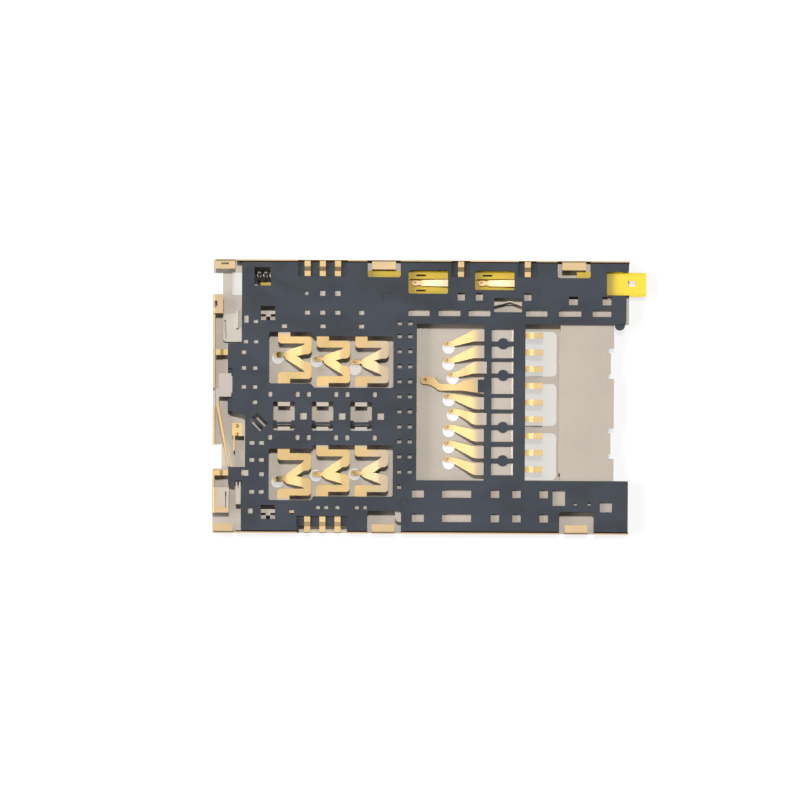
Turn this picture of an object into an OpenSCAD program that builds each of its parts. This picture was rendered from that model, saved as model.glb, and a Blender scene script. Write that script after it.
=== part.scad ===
// Combined SIM and memory card socket with a push-rod tray ejector.
// It lies on its stamped shell, solder side up. +X is the tray's way out, +Z faces the board.
// All sizes are in millimetres.

/* [Overall] */
// Width over the shell's two side walls
shell_w = 18; // [17.6:0.1:19]
// Length of the shell, from its back wall to the ends of the two arms
shell_l = 27.4; // [27.2:0.1:29]
// Height from the shell's outer face to the board face
height = 1.45; // [1.4:0.01:1.7]
// How far the eject rod stands out in front of the arms
rod_reach = 1.1; // [1:0.05:1.6]

/* [Sheet and plastic] */
// Thickness of the shell's sheet
sheet_t = 0.15; // [0.12:0.01:0.18]
// Thickness of the contacts' sheet
contact_t = 0.12; // [0.1:0.01:0.14]
// Thickness of the guide frame's sheet
frame_t = 0.12; // [0.1:0.01:0.15]
// Thickness of the housing's base plate
base_t = 0.47; // [0.44:0.01:0.5]
// Depth of the embedded contacts under the board face
contact_depth = 0.13; // [0.1:0.01:0.15]
// Height of the shell's side walls
wall_h = 1.2; // [1:0.05:1.3]
// Thickness of the housing's outer side walls
side_wall = 0.48; // [0.4:0.02:0.52]

/* [Cards] */
// Spacing of the SIM contacts along the slot
sim_pitch = 2.54; // [2.5:0.01:2.58]
// Distance from the middle of the SIM contacts' pair of rows to each row's middle
sim_row = 3.71; // [3.65:0.01:3.75]
// How much further out the first SIM contact of each row stands
sim_stagger = 0.26; // [0.2:0.01:0.3]
// Spacing of the memory card contacts
card_pitch = 1.1; // [1.08:0.01:1.12]
// Width of the memory card contacts' strips
strip_w = 0.79; // [0.7:0.01:0.82]
// Diameter of the relief holes in the shell under the contacts' tips
relief_d = 0.8; // [0.6:0.05:0.9]

/* [Eject mechanism] */
// Width of the eject rod
rod_w = 1.55; // [1.45:0.01:1.56]
// How far the rod is pushed in to eject the tray
rod_travel = 1.1; // [0.8:0.05:1.2]
// Distance from the lever's pivot to the point that the rod pushes
lever_reach = 3; // [2.9:0.05:3.1]
// Thickness of the eject lever
lever_t = 0.3; // [0.25:0.01:0.35]
// Diameter of the pivot boss drawn up from the shell
pivot_d = 1; // [0.9:0.05:1.2]
// Outer diameter of the return spring
spring_d = 0.72; // [0.6:0.02:0.72]
// Wire diameter of the return spring
spring_wire = 0.12; // [0.1:0.01:0.14]
// Number of turns in the return spring
spring_turns = 6; // [5:1:7]

/* [Clearances] */
// Gap between the housing and the shell's walls
wall_gap = 0.02; // [0.01:0.005:0.03]
// Gap all round the eject rod in its channel
rod_gap = 0.05; // [0.04:0.01:0.06]
// Radial clearance of the lever on its pivot
pivot_gap = 0.03; // [0.02:0.005:0.05]

/* [Hidden] */
$fn = 32;

// Levels
floor_z = sheet_t;
base_z = height - base_t;
strip_z = height - contact_depth - contact_t;
foot_z = height - contact_t;
rod_z = floor_z + rod_gap;
rod_h = base_z - floor_z - 2 * rod_gap;
lever_z = floor_z + rod_gap;
eps = 0.01;

// Main edges of the plan
back_x = -(shell_l + rod_reach) / 2;
arm_x = back_x + shell_l;
rod_end_x = arm_x + rod_reach;
mouth_x = arm_x - 0.99;
side_y = shell_w / 2 - sheet_t - wall_gap;
housing_x = back_x + 1.9;
housing_front_x = arm_x - 0.05;

// SIM contacts: the middle of the first contact's stub and the line between the two rows
sim_x = back_x + 4.7;
sim_y = -1.3;
stub_w = 0.8;
sim_len = 2.21;
sim_wid = 2.79;
beam_w = 0.46;

// Memory card contacts: the bar that they leave, the comb window and the line down the middle
card_y = -0.33;
card_left_x = back_x + 13.42;
bar_x = back_x + 17.86;
comb_x = bar_x + 0.49;
comb_end_x = comb_x + 1.43;
bar_end_x = comb_end_x + 0.79;
card_top_y = card_y + 5.15;
card_bottom_y = card_y - 5.15;
detect_slot = 3;
// Tips of the eight contacts, counted from the +Y end: distance to the bar, and Y from the middle
tips = [[2.4, 3.83], [2.4, 2.74], [2.12, 1.81], [2.37, 0.37], [2.1, -0.61], [2.36, -1.67],
    [2.36, -2.73], [2.36, -3.79]];
card_relief = -0.24;
// How far each SIM contact's tip is bent sideways, and where its relief hole lies, row by row
tip_bend = [[0, 0, -0.2], [-0.13, -0.06, 0.03]];
sim_relief = [[-0.17, -0.12, -0.43], [-0.2, -0.11, -0.1]];

// Eject rod, its channel and the tray's side of the rail
channel_y1 = side_y - side_wall;
rod_y1 = channel_y1 - rod_gap;
rod_y0 = rod_y1 - rod_w;
rod_mid_y = rod_y1 - rod_w / 2;
channel_y0 = rod_y0 - rod_gap;
rail_w = 0.5;
tray_y1 = channel_y0 - rail_w;
tray_y0 = -side_y + side_wall + 0.02;
spring_y = rod_y1 - spring_d / 2 - 0.02;
spring_z = (floor_z + base_z) / 2;
spring_x0 = housing_x + 0.4;
spring_l = 2.7;
prong_w = rod_w - spring_d - 0.1;

// Eject lever
push_r = 0.25;
push_y = rod_y0 + prong_w / 2;
pivot_x = back_x + 2.8;
pivot_y = push_y - lever_reach;
lever_gap = 0.06;
prong_x = pivot_x + push_r + lever_gap;

// Points of an outline whose corners [x, y, r] are rounded to radius r
function unit(v) = v / norm(v);
function corner(a, b, c, r, n = 4) =
    let (u = unit([a.x - b.x, a.y - b.y]), v = unit([c.x - b.x, c.y - b.y]),
        half = acos(max(-1, min(1, u * v))) / 2, t = r / tan(half), m = unit(u + v),
        o = [b.x, b.y] + m * r / sin(half), s = [b.x, b.y] + u * t - o, e = [b.x, b.y] + v * t - o,
        a0 = atan2(s.y, s.x), turn = atan2(s.x * e.y - s.y * e.x, s * e))
    [for (i = [0:n]) o + r * [cos(a0 + turn * i / n), sin(a0 + turn * i / n)]];
function rounded(p) = [for (i = [0:len(p) - 1])
    each p[i].z > 0 ? corner(p[(i + len(p) - 1) % len(p)], p[i], p[(i + 1) % len(p)], p[i].z)
        : [[p[i].x, p[i].y]]];
function box_path(x0, y0, x1, y1, r = 0) = [[x0, y0, r], [x1, y0, r], [x1, y1, r], [x0, y1, r]];

// A flat piece with the given outline between two levels
module slab(path, z0, z1) {
    translate([0, 0, z0]) linear_extrude(z1 - z0) polygon(rounded(path));
}

module block(x0, y0, z0, x1, y1, z1) {
    translate([x0, y0, z0]) cube([x1 - x0, y1 - y0, z1 - z0]);
}

// A window of the given middle and size, cut right through the base plate
module window(x, y, w, h, r = 0, z0 = 0) {
    slab(box_path(x - w / 2, y - h / 2, x + w / 2, y + h / 2, r), z0, height + eps);
}

// A profile drawn in X and Z, extruded along Y
module along_y(points, y0, y1) {
    translate([0, y1, 0]) rotate([90, 0, 0]) linear_extrude(y1 - y0) polygon(points);
}

// A profile drawn in Y and Z, extruded along X
module along_x(points, x0, x1) {
    translate([x0, 0, 0]) rotate([90, 0, 90]) linear_extrude(x1 - x0) polygon(points);
}

// The metal shell
tab_in = 0.62;
// Hold-down tabs at the rod's side and at the other side: middle and width
top_tabs = [[back_x + 11.24, 1.57], [back_x + 23.75, 1.57]];
low_tabs = [[back_x + 11.26, 1.5], [back_x + 23.96, 1.5]];
low_recess = [[back_x + 10.21, back_x + 12.44], [back_x + 22.85, back_x + 25.14]];
tail_x = [back_x + 6.21, back_x + 7.21, back_x + 8.21];
low_tail_shift = 0.06;
tail_w = 0.4;
rod_tail_x = [back_x + 16.31, back_x + 20.7];
corner_tab_w = 1.28;

module side_strip(x0, x1, z1) {
    along_x([[shell_w / 2 - sheet_t, 0], [shell_w / 2 - 0.04, 0], [shell_w / 2, 0.04],
        [shell_w / 2, z1], [shell_w / 2 - sheet_t, z1]], x0, x1);
}

// A hold-down tab: the side wall rises to the board and folds inwards
module hold_tab(x, w) {
    y = shell_w / 2;
    along_x([[y - sheet_t, 0], [y - 0.04, 0], [y, 0.04], [y, height - 0.12], [y - 0.04, height - 0.04],
        [y - 0.12, height], [y - tab_in, height], [y - tab_in, height - sheet_t],
        [y - sheet_t, height - sheet_t]], x - w / 2, x + w / 2);
}

module shell_side(gaps) {
    difference() {
        side_strip(back_x, arm_x, wall_h);
        for (g = gaps)
            block(g[0], shell_w / 2 - sheet_t - eps, sheet_t, g[1], shell_w / 2 + eps, height);
    }
}

module relief_holes() {
    for (c = [0:2])
        for (row = [1, -1]) {
            y = sim_tip_y(c, row) + sim_relief[row > 0 ? 0 : 1][c];
            translate([sim_x + c * sim_pitch - 0.43, y, -eps])
                cylinder(d = relief_d, h = sheet_t + 2 * eps);
        }
    for (t = tips)
        translate([bar_x - t[0] + 0.05, card_y + t[1] + card_relief, -eps])
            cylinder(d = relief_d, h = sheet_t + 2 * eps);
}

// Three windows under the solder tails, with two bridges between them
module tail_windows() {
    x0 = bar_end_x + 0.06;
    x1 = x0 + 2.01;
    for (w = [[4.68, 1.72], [1.25, -1.53], [-2.0, -5.1]])
        slab([[x0 - 0.6, card_y + w[1], 0], [x1, card_y + w[1], 0.3], [x1, card_y + w[0], 0.3],
            [x0 - 0.6, card_y + w[0], 0]], -eps, sheet_t + eps);
}

// Two notches at the mouth with a small slot at each end, cut through the floor and the guide frame
module mouth_notches() {
    for (m = [-3.01, 2.26]) {
        block(mouth_x - 0.21, m - 1, -eps, mouth_x + 1, m + 1, height);
        for (s = [-1, 1])
            block(mouth_x - 0.38, m + s * 0.84 - 0.16, -eps, mouth_x, m + s * 0.84 + 0.16, height);
    }
}

tees = [[back_x + 3.62, sim_y + 6.77], [back_x + 3.68, sim_y - 6.32]];

module pivot_boss() {
    translate([pivot_x, pivot_y, 0])
        difference() {
            cylinder(d = pivot_d, h = lever_z + lever_t + 0.06);
            translate([0, 0, -eps]) cylinder(d = pivot_d - 2 * sheet_t, h = lever_z + lever_t - 0.05);
        }
}

// A T-shaped lug lanced out of the floor and bent up behind the tray
module tee_lug(x, y) {
    lug_z = floor_z + 0.5;
    along_x([[y - 0.7, 0], [y - 0.56, 0], [y - 0.16, lug_z], [y + 0.04, lug_z],
        [y + 0.04, lug_z + sheet_t], [y - 0.24, lug_z + sheet_t], [y - 0.64, sheet_t],
        [y - 0.7, sheet_t]], x - 0.14, x + 0.14);
    block(x - 0.46, y - 0.07, lug_z, x + 0.46, y + 0.14, lug_z + sheet_t);
}

// A lug beside the housing's end wall, bent up from the floor and forked at its free end
lug_x = housing_x - 0.175;

module forked_lug() {
    y = -side_y + 1.62;
    z = height - 0.25;
    along_x([[y, 0], [y + sheet_t, 0], [y + sheet_t, z - sheet_t], [y + 1.15, z - sheet_t],
        [y + 1.15, z], [y + 0.1, z], [y, z - 0.1]], lug_x - 0.17, lug_x + 0.15);
    for (d = [-0.17, 0.04])
        block(lug_x + d, y + 1.1, z - sheet_t, lug_x + d + 0.11, y + 1.57, z);
}

module metal_shell() color([0.8, 0.75, 0.68]) {
    y = shell_w / 2;
    difference() {
        slab([[back_x, -y, 0.1], [arm_x, -y, 0.1], [arm_x, card_bottom_y, 0], [mouth_x, card_bottom_y, 0],
            [mouth_x, card_top_y, 0], [arm_x, card_top_y, 0], [arm_x, y, 0.1], [back_x, y, 0.1]],
            0, sheet_t);
        relief_holes();
        tail_windows();
        mouth_notches();
        slab(box_path(back_x + 1.22, rod_y0 - 0.1, back_x + 2.6, rod_y0 + 1.4, 0.1), -eps, sheet_t + eps);
        block(back_x - eps, 6.7, -eps, back_x + 0.62, 8.1, sheet_t + eps);
        block(back_x - eps, -4.8, -eps, back_x + 0.58, -3.2, sheet_t + eps);
        translate([pivot_x, pivot_y, -eps]) cylinder(d = pivot_d - 2 * sheet_t, h = 1);
        for (t = tees) {
            block(t[0] - 0.16, t[1] - 0.6, -eps, t[0] + 0.16, t[1] - 0.05, sheet_t + eps);
            block(t[0] - 0.48, t[1] - 0.06, -eps, t[0] + 0.48, t[1] + 0.16, sheet_t + eps);
        }
    }
    pivot_boss();
    forked_lug();
    for (t = tees)
        tee_lug(t[0], t[1]);
    shell_side([[tail_x[0] - 0.65, tail_x[2] + 0.65], [top_tabs[0][0] - 1.1, top_tabs[0][0] + 1.1],
        [rod_tail_x[0] - 0.6, rod_tail_x[0] + 0.6], [rod_tail_x[1] - 0.6, rod_tail_x[1] + 0.6],
        [top_tabs[1][0] - 1.1, top_tabs[1][0] + 1.1], [back_x - eps, back_x + 1.55]]);
    mirror([0, 1, 0])
        shell_side([[tail_x[0] - 0.65, tail_x[2] + 0.7], low_recess[0], low_recess[1],
            [back_x - eps, back_x + 1.55]]);
    for (t = top_tabs)
        hold_tab(t[0], t[1]);
    difference() {
        hold_tab(back_x + 0.16 + corner_tab_w / 2, corner_tab_w);
        block(back_x + 0.53, 8.66, height - 0.3, back_x + 1.03, 8.78, height + eps);
    }
    mirror([0, 1, 0]) {
        for (t = low_tabs)
            hold_tab(t[0], t[1]);
        hold_tab(back_x + 0.1 + corner_tab_w / 2, corner_tab_w);
    }
    back_wall();
}

// The back wall, its folded tabs and the lug beside the switch
module back_fold(y0, y1, reach, z) {
    x = back_x;
    along_y([[x, 0], [x + sheet_t, 0], [x + sheet_t, z - sheet_t], [x + reach, z - sheet_t],
        [x + reach, z], [x + 0.12, z], [x + 0.04, z - 0.04], [x, z - 0.12]], y0, y1);
}

module back_wall() {
    block(back_x, -3.2, 0, back_x + sheet_t, -0.74, wall_h);
    block(back_x, -0.74, 0, back_x + sheet_t, 0.52, 0.45);
    block(back_x, 0.52, 0, back_x + sheet_t, 5.44, wall_h);
    block(back_x, -6, 0, back_x + sheet_t, -4.8, wall_h);
    difference() {
        back_fold(5.44, 6.61, 0.66, height);
        slab(box_path(back_x + 0.09, 5.8, back_x + 0.29, 6.27, 0.09), height - 2 * sheet_t, height + 1);
    }
    difference() {
        back_fold(-7.68, -6, 1.1, height - 0.1);
        block(back_x + 0.86, -7.35, 0.5, back_x + 0.94, -6.3, height);
    }
}

// The moulded housing
small = 0.27;

module housing_outline(z0, z1) {
    x0 = housing_x;
    x1 = housing_front_x;
    top = side_y;
    slab([[x0, -top, 0.12], [x1, -top, 0.1], [x1, card_bottom_y, 0.1], [bar_end_x, card_bottom_y, 0],
        [bar_end_x, card_top_y, 0], [x1 - 0.15, card_top_y, 0.35], [x1 - 0.15, channel_y0 + 0.02, 0.1],
        [x1 - 1.44, channel_y0 + 0.02, 0.1], [x1 - 1.44, channel_y1 - 0.05, 0.1],
        [x1, channel_y1 - 0.05, 0.1], [x1, top, 0.1], [x0, top, 0.1],
        [x0, 3.48, 0], [x0 - 0.9, 3.48, 0.08], [x0 - 0.9, 1.84, 0], [x0 - 0.6, 1.84, 0],
        [x0 - 0.6, -0.38, 0], [x0 - 0.9, -0.38, 0], [x0 - 0.9, -0.95, 0.25], [x0 + 0.25, -1.25, 0.2],
        [x0 + 0.25, -4.68, 0], [x0 - 0.85, -4.68, 0.05], [x0 - 0.85, -5.86, 0.2],
        [lug_x - 0.22, -5.86, 0], [lug_x - 0.22, -5.58, 0], [x0 + 0.05, -5.58, 0],
        [x0 + 0.05, -5.86, 0], [x0, -5.9, 0]],
        z0, z1);
}

// Windows over the SIM contacts: the first column stands further out than the other two
module sim_windows() {
    x0 = sim_x - stub_w / 2 - 0.6;
    xm = sim_x + sim_pitch - stub_w / 2 - 0.37;
    x1 = sim_x + 2 * sim_pitch + sim_len - stub_w / 2 + 0.3;
    y0 = sim_row - sim_wid / 2 - 0.3;
    y1 = sim_row + sim_wid / 2 + 0.3;
    for (s = [1, -1])
        translate([0, sim_y, 0]) scale([1, s, 1])
            slab([[x0, y0 + sim_stagger / 2, 0.15], [xm, y0 + sim_stagger / 2, 0],
                [xm + 0.2, y0 - sim_stagger / 2, 0], [x1, y0 - sim_stagger / 2, 0.15],
                [x1, y1 - sim_stagger / 2, 0.15], [xm + 0.2, y1 - sim_stagger / 2, 0],
                [xm, y1 + sim_stagger / 2, 0], [x0, y1 + sim_stagger / 2, 0.15]], 0, height + eps);
}

// The three windows between the two rows, each crossed by a low rib
module middle_windows() {
    for (c = [0:2]) {
        x = sim_x + c * sim_pitch;
        window(x, sim_y, 1.42, 1.9, 0.1);
        for (u = [-0.9, 0.9])
            for (v = [1.44, -1.4])
                window(x + u, sim_y + v, 0.25, 0.36, 0.1);
        window(x + sim_pitch / 2 + 0.02, sim_y, 0.43, 0.44);
    }
}

module middle_ribs() {
    for (c = [0:2]) {
        x = sim_x + c * sim_pitch;
        block(x - 0.72, sim_y - 0.56, base_z, x + 0.72, sim_y - 0.38, base_z + 0.25);
        for (u = [-0.72, 0.48])
            block(x + u, sim_y - 0.5, base_z, x + u + 0.24, sim_y - 0.28, base_z + 0.25);
    }
}

// The window over the memory card contacts, with the bar's steps at their roots
module card_window() {
    slab(box_path(card_left_x, card_bottom_y, bar_x, card_top_y, 0), 0, height + eps);
    for (i = [2, 5])
        block(bar_x - eps, strip_y(i) - 0.52, 0, bar_x + 0.17, strip_y(i) + 0.52, height + eps);
}

// Separators of the comb window: ribs between the strips, four of them with a round pad
module comb_window() {
    difference() {
        block(comb_x, strip_y(8) - strip_w / 2, strip_z + contact_t, comb_end_x,
            strip_y(0) + strip_w / 2, height + eps);
        for (i = [0:7])
            block(comb_x - eps, gap_y(i) - gap_w(i) / 2, 0, comb_end_x + eps,
                gap_y(i) + gap_w(i) / 2, height - 0.03);
        for (i = [0, 2, 5, 7])
            translate([comb_x + 0.755, gap_y(i) + 0.02, 0]) cylinder(d = 0.72, h = height - 0.02);
    }
}

module arm_windows() {
    slab(box_path(rod_win_x[0], channel_y0 + 0.1, rod_win_x[0] + rod_win_l, channel_y1 - 0.02, 0.12),
        0, height + eps);
    slab(box_path(rod_win_x[1], channel_y0 + 0.36, rod_win_x[1] + rod_win_l, channel_y1 - 0.03, 0.1),
        0, height + eps);
    for (x = [16.33, 17.52, 20.71])
        window(back_x + x, channel_y0 - 0.09, 0.47, 0.49);
    for (x = [23.71, 25.92])
        window(back_x + x, channel_y0 - 0.33, 0.58, 0.55);
    for (p = [[13.56, 1.39], [15.56, 1.44], [17.54, 1.43], [21.3, 1.42], [23.5, 1.47], [25.6, 1.23]])
        window(back_x + p[0], card_top_y + 0.72, p[1], 0.42, 0.05);
    window(latch_x, channel_y0 - 0.63, 1.85, 0.92, 0.04);
    for (p = [[13.55, 0.78], [16.1, 1.9], [18.62, 0.55], [20.04, 0.55], [21.83, 0.55]])
        for (y = [card_bottom_y - 0.87, tray_y0 + 0.38])
            window(back_x + p[0], y, p[1], 0.54);
    window(back_x + 22.82, card_bottom_y - 1.13, 0.82, 1.02);
    window(back_x + 25.92, tray_y0 + 1.13, 0.8, 0.66);
    for (x = [23.91, 24.82])
        window(back_x + x, tray_y0 + 1.33, 0.2, 0.2, 0.05);
}

// Distances of the two columns of pin windows from the memory card window
pin_columns = [1.12, 0.43];

// Small windows left by the pins that hold the contacts while the housing is moulded
module pin_windows() {
    for (d = pin_columns)
        for (i = [0:10])
            window(card_left_x - d, card_top_y + (i == 0 ? 0.03 : 0.17 - 0.99 * i), small, small);
    window(card_left_x - pin_columns[0], card_bottom_y - 0.44, small, small);
    for (c = [0:2])
        window(sim_x + c * sim_pitch, sim_y + 5.92, 0.33, 0.26);
    for (x = [sim_x + 2 * sim_pitch, tail_x[0], tail_x[1], tail_x[2]])
        window(x, sim_y + 6.82, 0.33, 0.28);
    window(tail_x[0] - 0.05, channel_y0 + 0.08, 0.2, 0.22);
    for (x = [tail_x[1], tail_x[2]])
        window(x, channel_y0 + 0.09, 0.34, 0.34);
    for (x = [tail_x[1] - 0.24, tail_x[1] + 0.3, tail_x[2] + 0.04, sim_x + 2 * sim_pitch - 0.25,
        sim_x + 2 * sim_pitch + 0.31])
        window(x, tray_y0 + 1.03, 0.24, 0.22);
    window(back_x + 5.24, tray_y0 + 0.73, 0.32, 0.26);
    window(back_x + 2.52, tray_y0 + 0.78, 0.3, 0.34, 0.05);
    for (p = back_pins)
        window(back_x + p[0], sim_y + p[1], p[2], p[3], 0.03);
    translate([skew_x, skew_y, 0]) rotate(-45)
        block(-0.5, -0.37, 0, 0.5, 0.37, height + eps);
}

// Windows behind the SIM slot: distance to the back wall, Y from the line between the rows, size
back_pins = [[2.2, 6.37, 0.28, 0.5], [2.82, 6.22, 0.28, 0.22], [2.18, 4.89, 0.28, 0.24],
    [2.84, 4.89, 0.28, 0.24], [2.05, 4.19, 0.28, 0.26], [2.05, 3.16, 0.28, 0.26],
    [2.05, 1.91, 0.28, 0.26], [2.79, 3.15, 0.28, 0.26], [2.79, 1.91, 0.28, 0.26],
    [2.79, 0.9, 0.28, 0.26], [2.6, -1.77, 0.32, 0.26], [3.23, -1.77, 0.32, 0.26],
    [2.6, -2.89, 0.32, 0.26], [3.23, -2.89, 0.32, 0.26], [2.6, -4.99, 0.32, 0.26],
    [3.23, -4.99, 0.32, 0.26], [3.24, -3.83, 0.3, 0.27], [2.15, -3.75, 0.46, 0.4]];

// The slanted window beside the switch, with a low rib along it
skew_x = back_x + 3.04;
skew_y = sim_y - 0.4;

module skew_rib() {
    translate([skew_x, skew_y, 0]) rotate(-45)
        block(-0.5, -0.11, base_z, 0.5, 0.05, base_z + 0.2);
}

// Round marks left by the mould's ejector pins
module ejector_marks() {
    for (p = [[11.47, 6.5, 0.72], [12.65, -7.04, 0.66]])
        translate([back_x + p[0], p[1], height - 0.04]) cylinder(d = p[2], h = 0.1);
}

// Recesses for the solder tails and the hold-down tabs at the two long edges
module edge_recesses() {
    y = side_y + eps;
    block(tail_x[0] - 0.63, y - 0.92, strip_z, tail_x[2] + 0.6, y, height + eps);
    block(tail_x[0] - 0.65, -y, strip_z, tail_x[2] + 0.68, -y + 0.96, height + eps);
    block(tail_x[0] - 0.5, -y, floor_z, tail_x[2] + 0.68, -y + 0.33, height + eps);
    for (t = top_tabs)
        slab([[t[0] - 1.08, y - 0.97, 0.15], [t[0] + 1.1, y - 0.97, 0.15], [t[0] + 1.1, y + 1, 0],
            [t[0] - 1.08, y + 1, 0]], 0, height + eps);
    for (r = low_recess)
        slab(box_path(r[0], -y - 1, r[1], -y + 1.33, 0.15), 0, height + eps);
    for (x = rod_tail_x)
        block(x - 0.66, y - 0.92, strip_z, x + 0.66, y, height + eps);
}

module tee_windows() {
    for (t = tees)
        window(t[0], t[1], 0.95, 0.92);
}

// Walls that stand between the base plate and the shell
module housing_walls() {
    x0 = housing_x;
    x1 = housing_front_x;
    z = floor_z;
    block(x0, channel_y1, z, x1, side_y, base_z + eps);
    block(x0, -side_y, z, x1, -side_y + side_wall, base_z + eps);
    block(x0 + 1.5, tray_y1, z, x1 - 1.5, channel_y0, base_z + eps);
    block(x1 - 1.6, tray_y1, z, x1 - 0.2, channel_y0 - head_low - 0.02, base_z + eps);
    block(x0, spring_y - spring_d / 2 - 0.01, z, spring_x0, side_y, base_z + eps);
    block(x0 - 0.9, -1, z, x0 - 0.45, 1.5, base_z + eps);
    block(x0 - 0.9, -1, lever_z + lever_t + 0.12, x0 + 0.5, 3.2, base_z + eps);
    block(x0 - 0.85, -5.7, z, x0, -4.68, base_z + eps);
    block(x0, -side_y, z, x0 + 0.4, -5.86, base_z + eps);
}

module mouth_bump() {
    translate([housing_front_x - 0.57, card_top_y - 0.04, base_z]) cylinder(d = 0.68, h = 0.27);
}

module housing() color([0.25, 0.27, 0.3]) {
    difference() {
        union() {
            housing_outline(base_z, height);
            housing_walls();
            mouth_bump();
        }
        sim_windows();
        middle_windows();
        card_window();
        comb_window();
        arm_windows();
        pin_windows();
        tee_windows();
        edge_recesses();
        ejector_marks();
        window(back_x + 3.26, 7.88, 1.07, 1.2);
        frame_plate();
        for (i = [0:8])
            strip_flat(i);
        for (c = [0:2])
            for (row = [-1, 1])
                sim_flat(c, row);
        for (k = [0, 1])
            rod_contact_flat(k);
        switch_spring_flat();
        switch_contact_flat();
        latch_pocket();
        stop_notch();
    }
    skew_rib();
    detect_block();
    difference() {
        middle_ribs();
        for (c = [0:2])
            for (row = [-1, 1])
                sim_flat(c, row);
    }
    rod_stop();
}

// The block that covers the root of the detect contact
module detect_block() {
    y = strip_y(detect_slot);
    block(bar_x - 0.41, y - 0.42, strip_z + contact_t, bar_x + eps, y + 0.4, height);
}

// The guide frame: a stamped sheet under the base plate, bare where it crosses the mouth
module frame_plate() {
    x0 = card_left_x - pin_columns[0] - 0.25;
    x1 = mouth_x;
    xi = bar_end_x + 2.2;
    yb = tray_y0 + 0.08;
    yt = channel_y0 + 0.06;
    difference() {
        slab([[x0, yb, 0.3], [xi - 0.2, yb, 0], [xi - 0.2, yb + 0.75, 0], [x1 - 0.9, yb + 0.75, 0],
            [x1 - 0.9, yb + 0.55, 0], [x1, yb + 0.55, 0], [x1, yt - 0.28, 0], [xi + 0.3, yt - 0.28, 0],
            [xi + 0.3, yt, 0], [x0, yt, 0.3]],
            base_z, base_z + frame_t);
        block(card_left_x - 0.07, card_bottom_y - 0.12, 0, xi, card_top_y + 0.12, height);
        mouth_notches();
        for (m = [card_bottom_y - 0.1, card_top_y - 0.5])
            block(xi - eps, m, 0, xi + 0.12, m + 0.6, height);
        window(latch_x, channel_y0 - 0.63, 1.95, 1.1);
    }
}

module guide_frame() color([0.79, 0.76, 0.7])
    frame_plate();

// Memory card contacts
function strip_y(i) = card_y + (4 - i) * card_pitch;
function strip_mid(i) = strip_y(i) + (i == detect_slot - 1 ? 0.09 : i == detect_slot + 1 ? -0.07 : 0);
function strip_width(i) = i == detect_slot ? strip_w + 0.3 : strip_w;
function gap_y(i) = (strip_mid(i) - strip_width(i) / 2 + strip_mid(i + 1) + strip_width(i + 1) / 2) / 2;
function gap_w(i) = strip_mid(i) - strip_width(i) / 2 - strip_mid(i + 1) - strip_width(i + 1) / 2;
foot_w = 0.39;

// The flat part of a contact, from the bar to the foot of its solder tail
module strip_flat(i) {
    w = strip_width(i);
    block(bar_x - 0.02, strip_mid(i) - w / 2, strip_z, comb_end_x + 0.2, strip_mid(i) + w / 2,
        strip_z + contact_t);
    block(comb_end_x, strip_y(i) - foot_w / 2, strip_z, bar_end_x + 0.28, strip_y(i) + foot_w / 2,
        strip_z + contact_t);
}

// A tail that steps up to the board, starting flat at the origin and running along +X
module tail_step(w, run, l) {
    rise = foot_z - strip_z;
    along_y([[0, strip_z], [0, strip_z + contact_t], [run, strip_z + contact_t + rise],
        [l, foot_z + contact_t], [l, foot_z], [run, foot_z], [0.02, strip_z]], -w / 2, w / 2);
}

module strip_tail(i) {
    translate([bar_end_x + 0.28, strip_y(i), 0]) tail_step(foot_w, 0.33, 0.89);
}

// Side view of a sprung arm: flat at the root, down to the tip and up again at its end
function arm_profile(x_root, x_bend, x_tip, x_end, low) =
    [[x_root, strip_z], [x_bend, strip_z], [x_tip + 0.05, low], [x_tip - 0.08, low],
    [x_end, low + 0.12], [x_end, low + 0.24], [x_tip - 0.08, low + contact_t],
    [x_tip + 0.03, low + contact_t], [x_bend - 0.03, strip_z + contact_t], [x_root, strip_z + contact_t]];
tip_low = 0.32;

module card_arm(i, tip) {
    yr = strip_mid(i);
    yt = card_y + tip[1];
    xt = bar_x - tip[0];
    xb = bar_x - 0.6;
    yn = yt + (yr - yt) * 0.3;
    intersection() {
        slab([[bar_x, yr - strip_w / 2, 0], [bar_x, yr + strip_w / 2, 0], [xb, yr + strip_w / 2, 0.5],
            [xt + 0.7, yn + 0.25, 0.2], [xt + 0.25, yt + 0.17, 0.1], [xt - 0.25, yt + 0.17, 0.15],
            [xt - 0.25, yt - 0.17, 0.15], [xt + 0.25, yt - 0.17, 0.1], [xt + 0.7, yn - 0.25, 0.2],
            [xb, yr - strip_w / 2, 0.5]], 0, height);
        along_y(arm_profile(bar_x, bar_x - 0.45, xt, xt - 0.25, tip_low), yr - 2, yr + 2);
    }
}

module card_contact(n) color([0.93, 0.78, 0.5]) {
    i = n < detect_slot ? n : n + 1;
    strip_flat(i);
    strip_tail(i);
    card_arm(i, tips[n]);
}

// The longer contact that touches the card first pushed home
module card_detect_contact() color([0.93, 0.78, 0.5]) {
    y = strip_y(detect_slot);
    w = strip_width(detect_slot);
    strip_flat(detect_slot);
    strip_tail(detect_slot);
    intersection() {
        slab([[bar_x, y - w / 2, 0], [bar_x, y + w / 2, 0], [bar_x - 0.6, y + w / 2 - 0.06, 0.1],
            [bar_x - 1.4, y + 0.3, 0.3], [bar_x - 1.8, y + 0.07, 0.3], [bar_x - 2.9, y + 0.1, 0.2],
            [bar_x - 3.25, y + 0.58, 0.2], [bar_x - 4.2, y + 0.6, 0.2], [bar_x - 4.2, y + 0.1, 0.2],
            [bar_x - 3.6, y + 0.05, 0.2], [bar_x - 3.05, y - 0.36, 0.2], [bar_x - 1.6, y - 0.33, 0.2]],
            0, height);
        along_y(arm_profile(bar_x, bar_x - 0.7, bar_x - 3.9, bar_x - 4.2, tip_low), y - 2, y + 2);
    }
}

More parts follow.
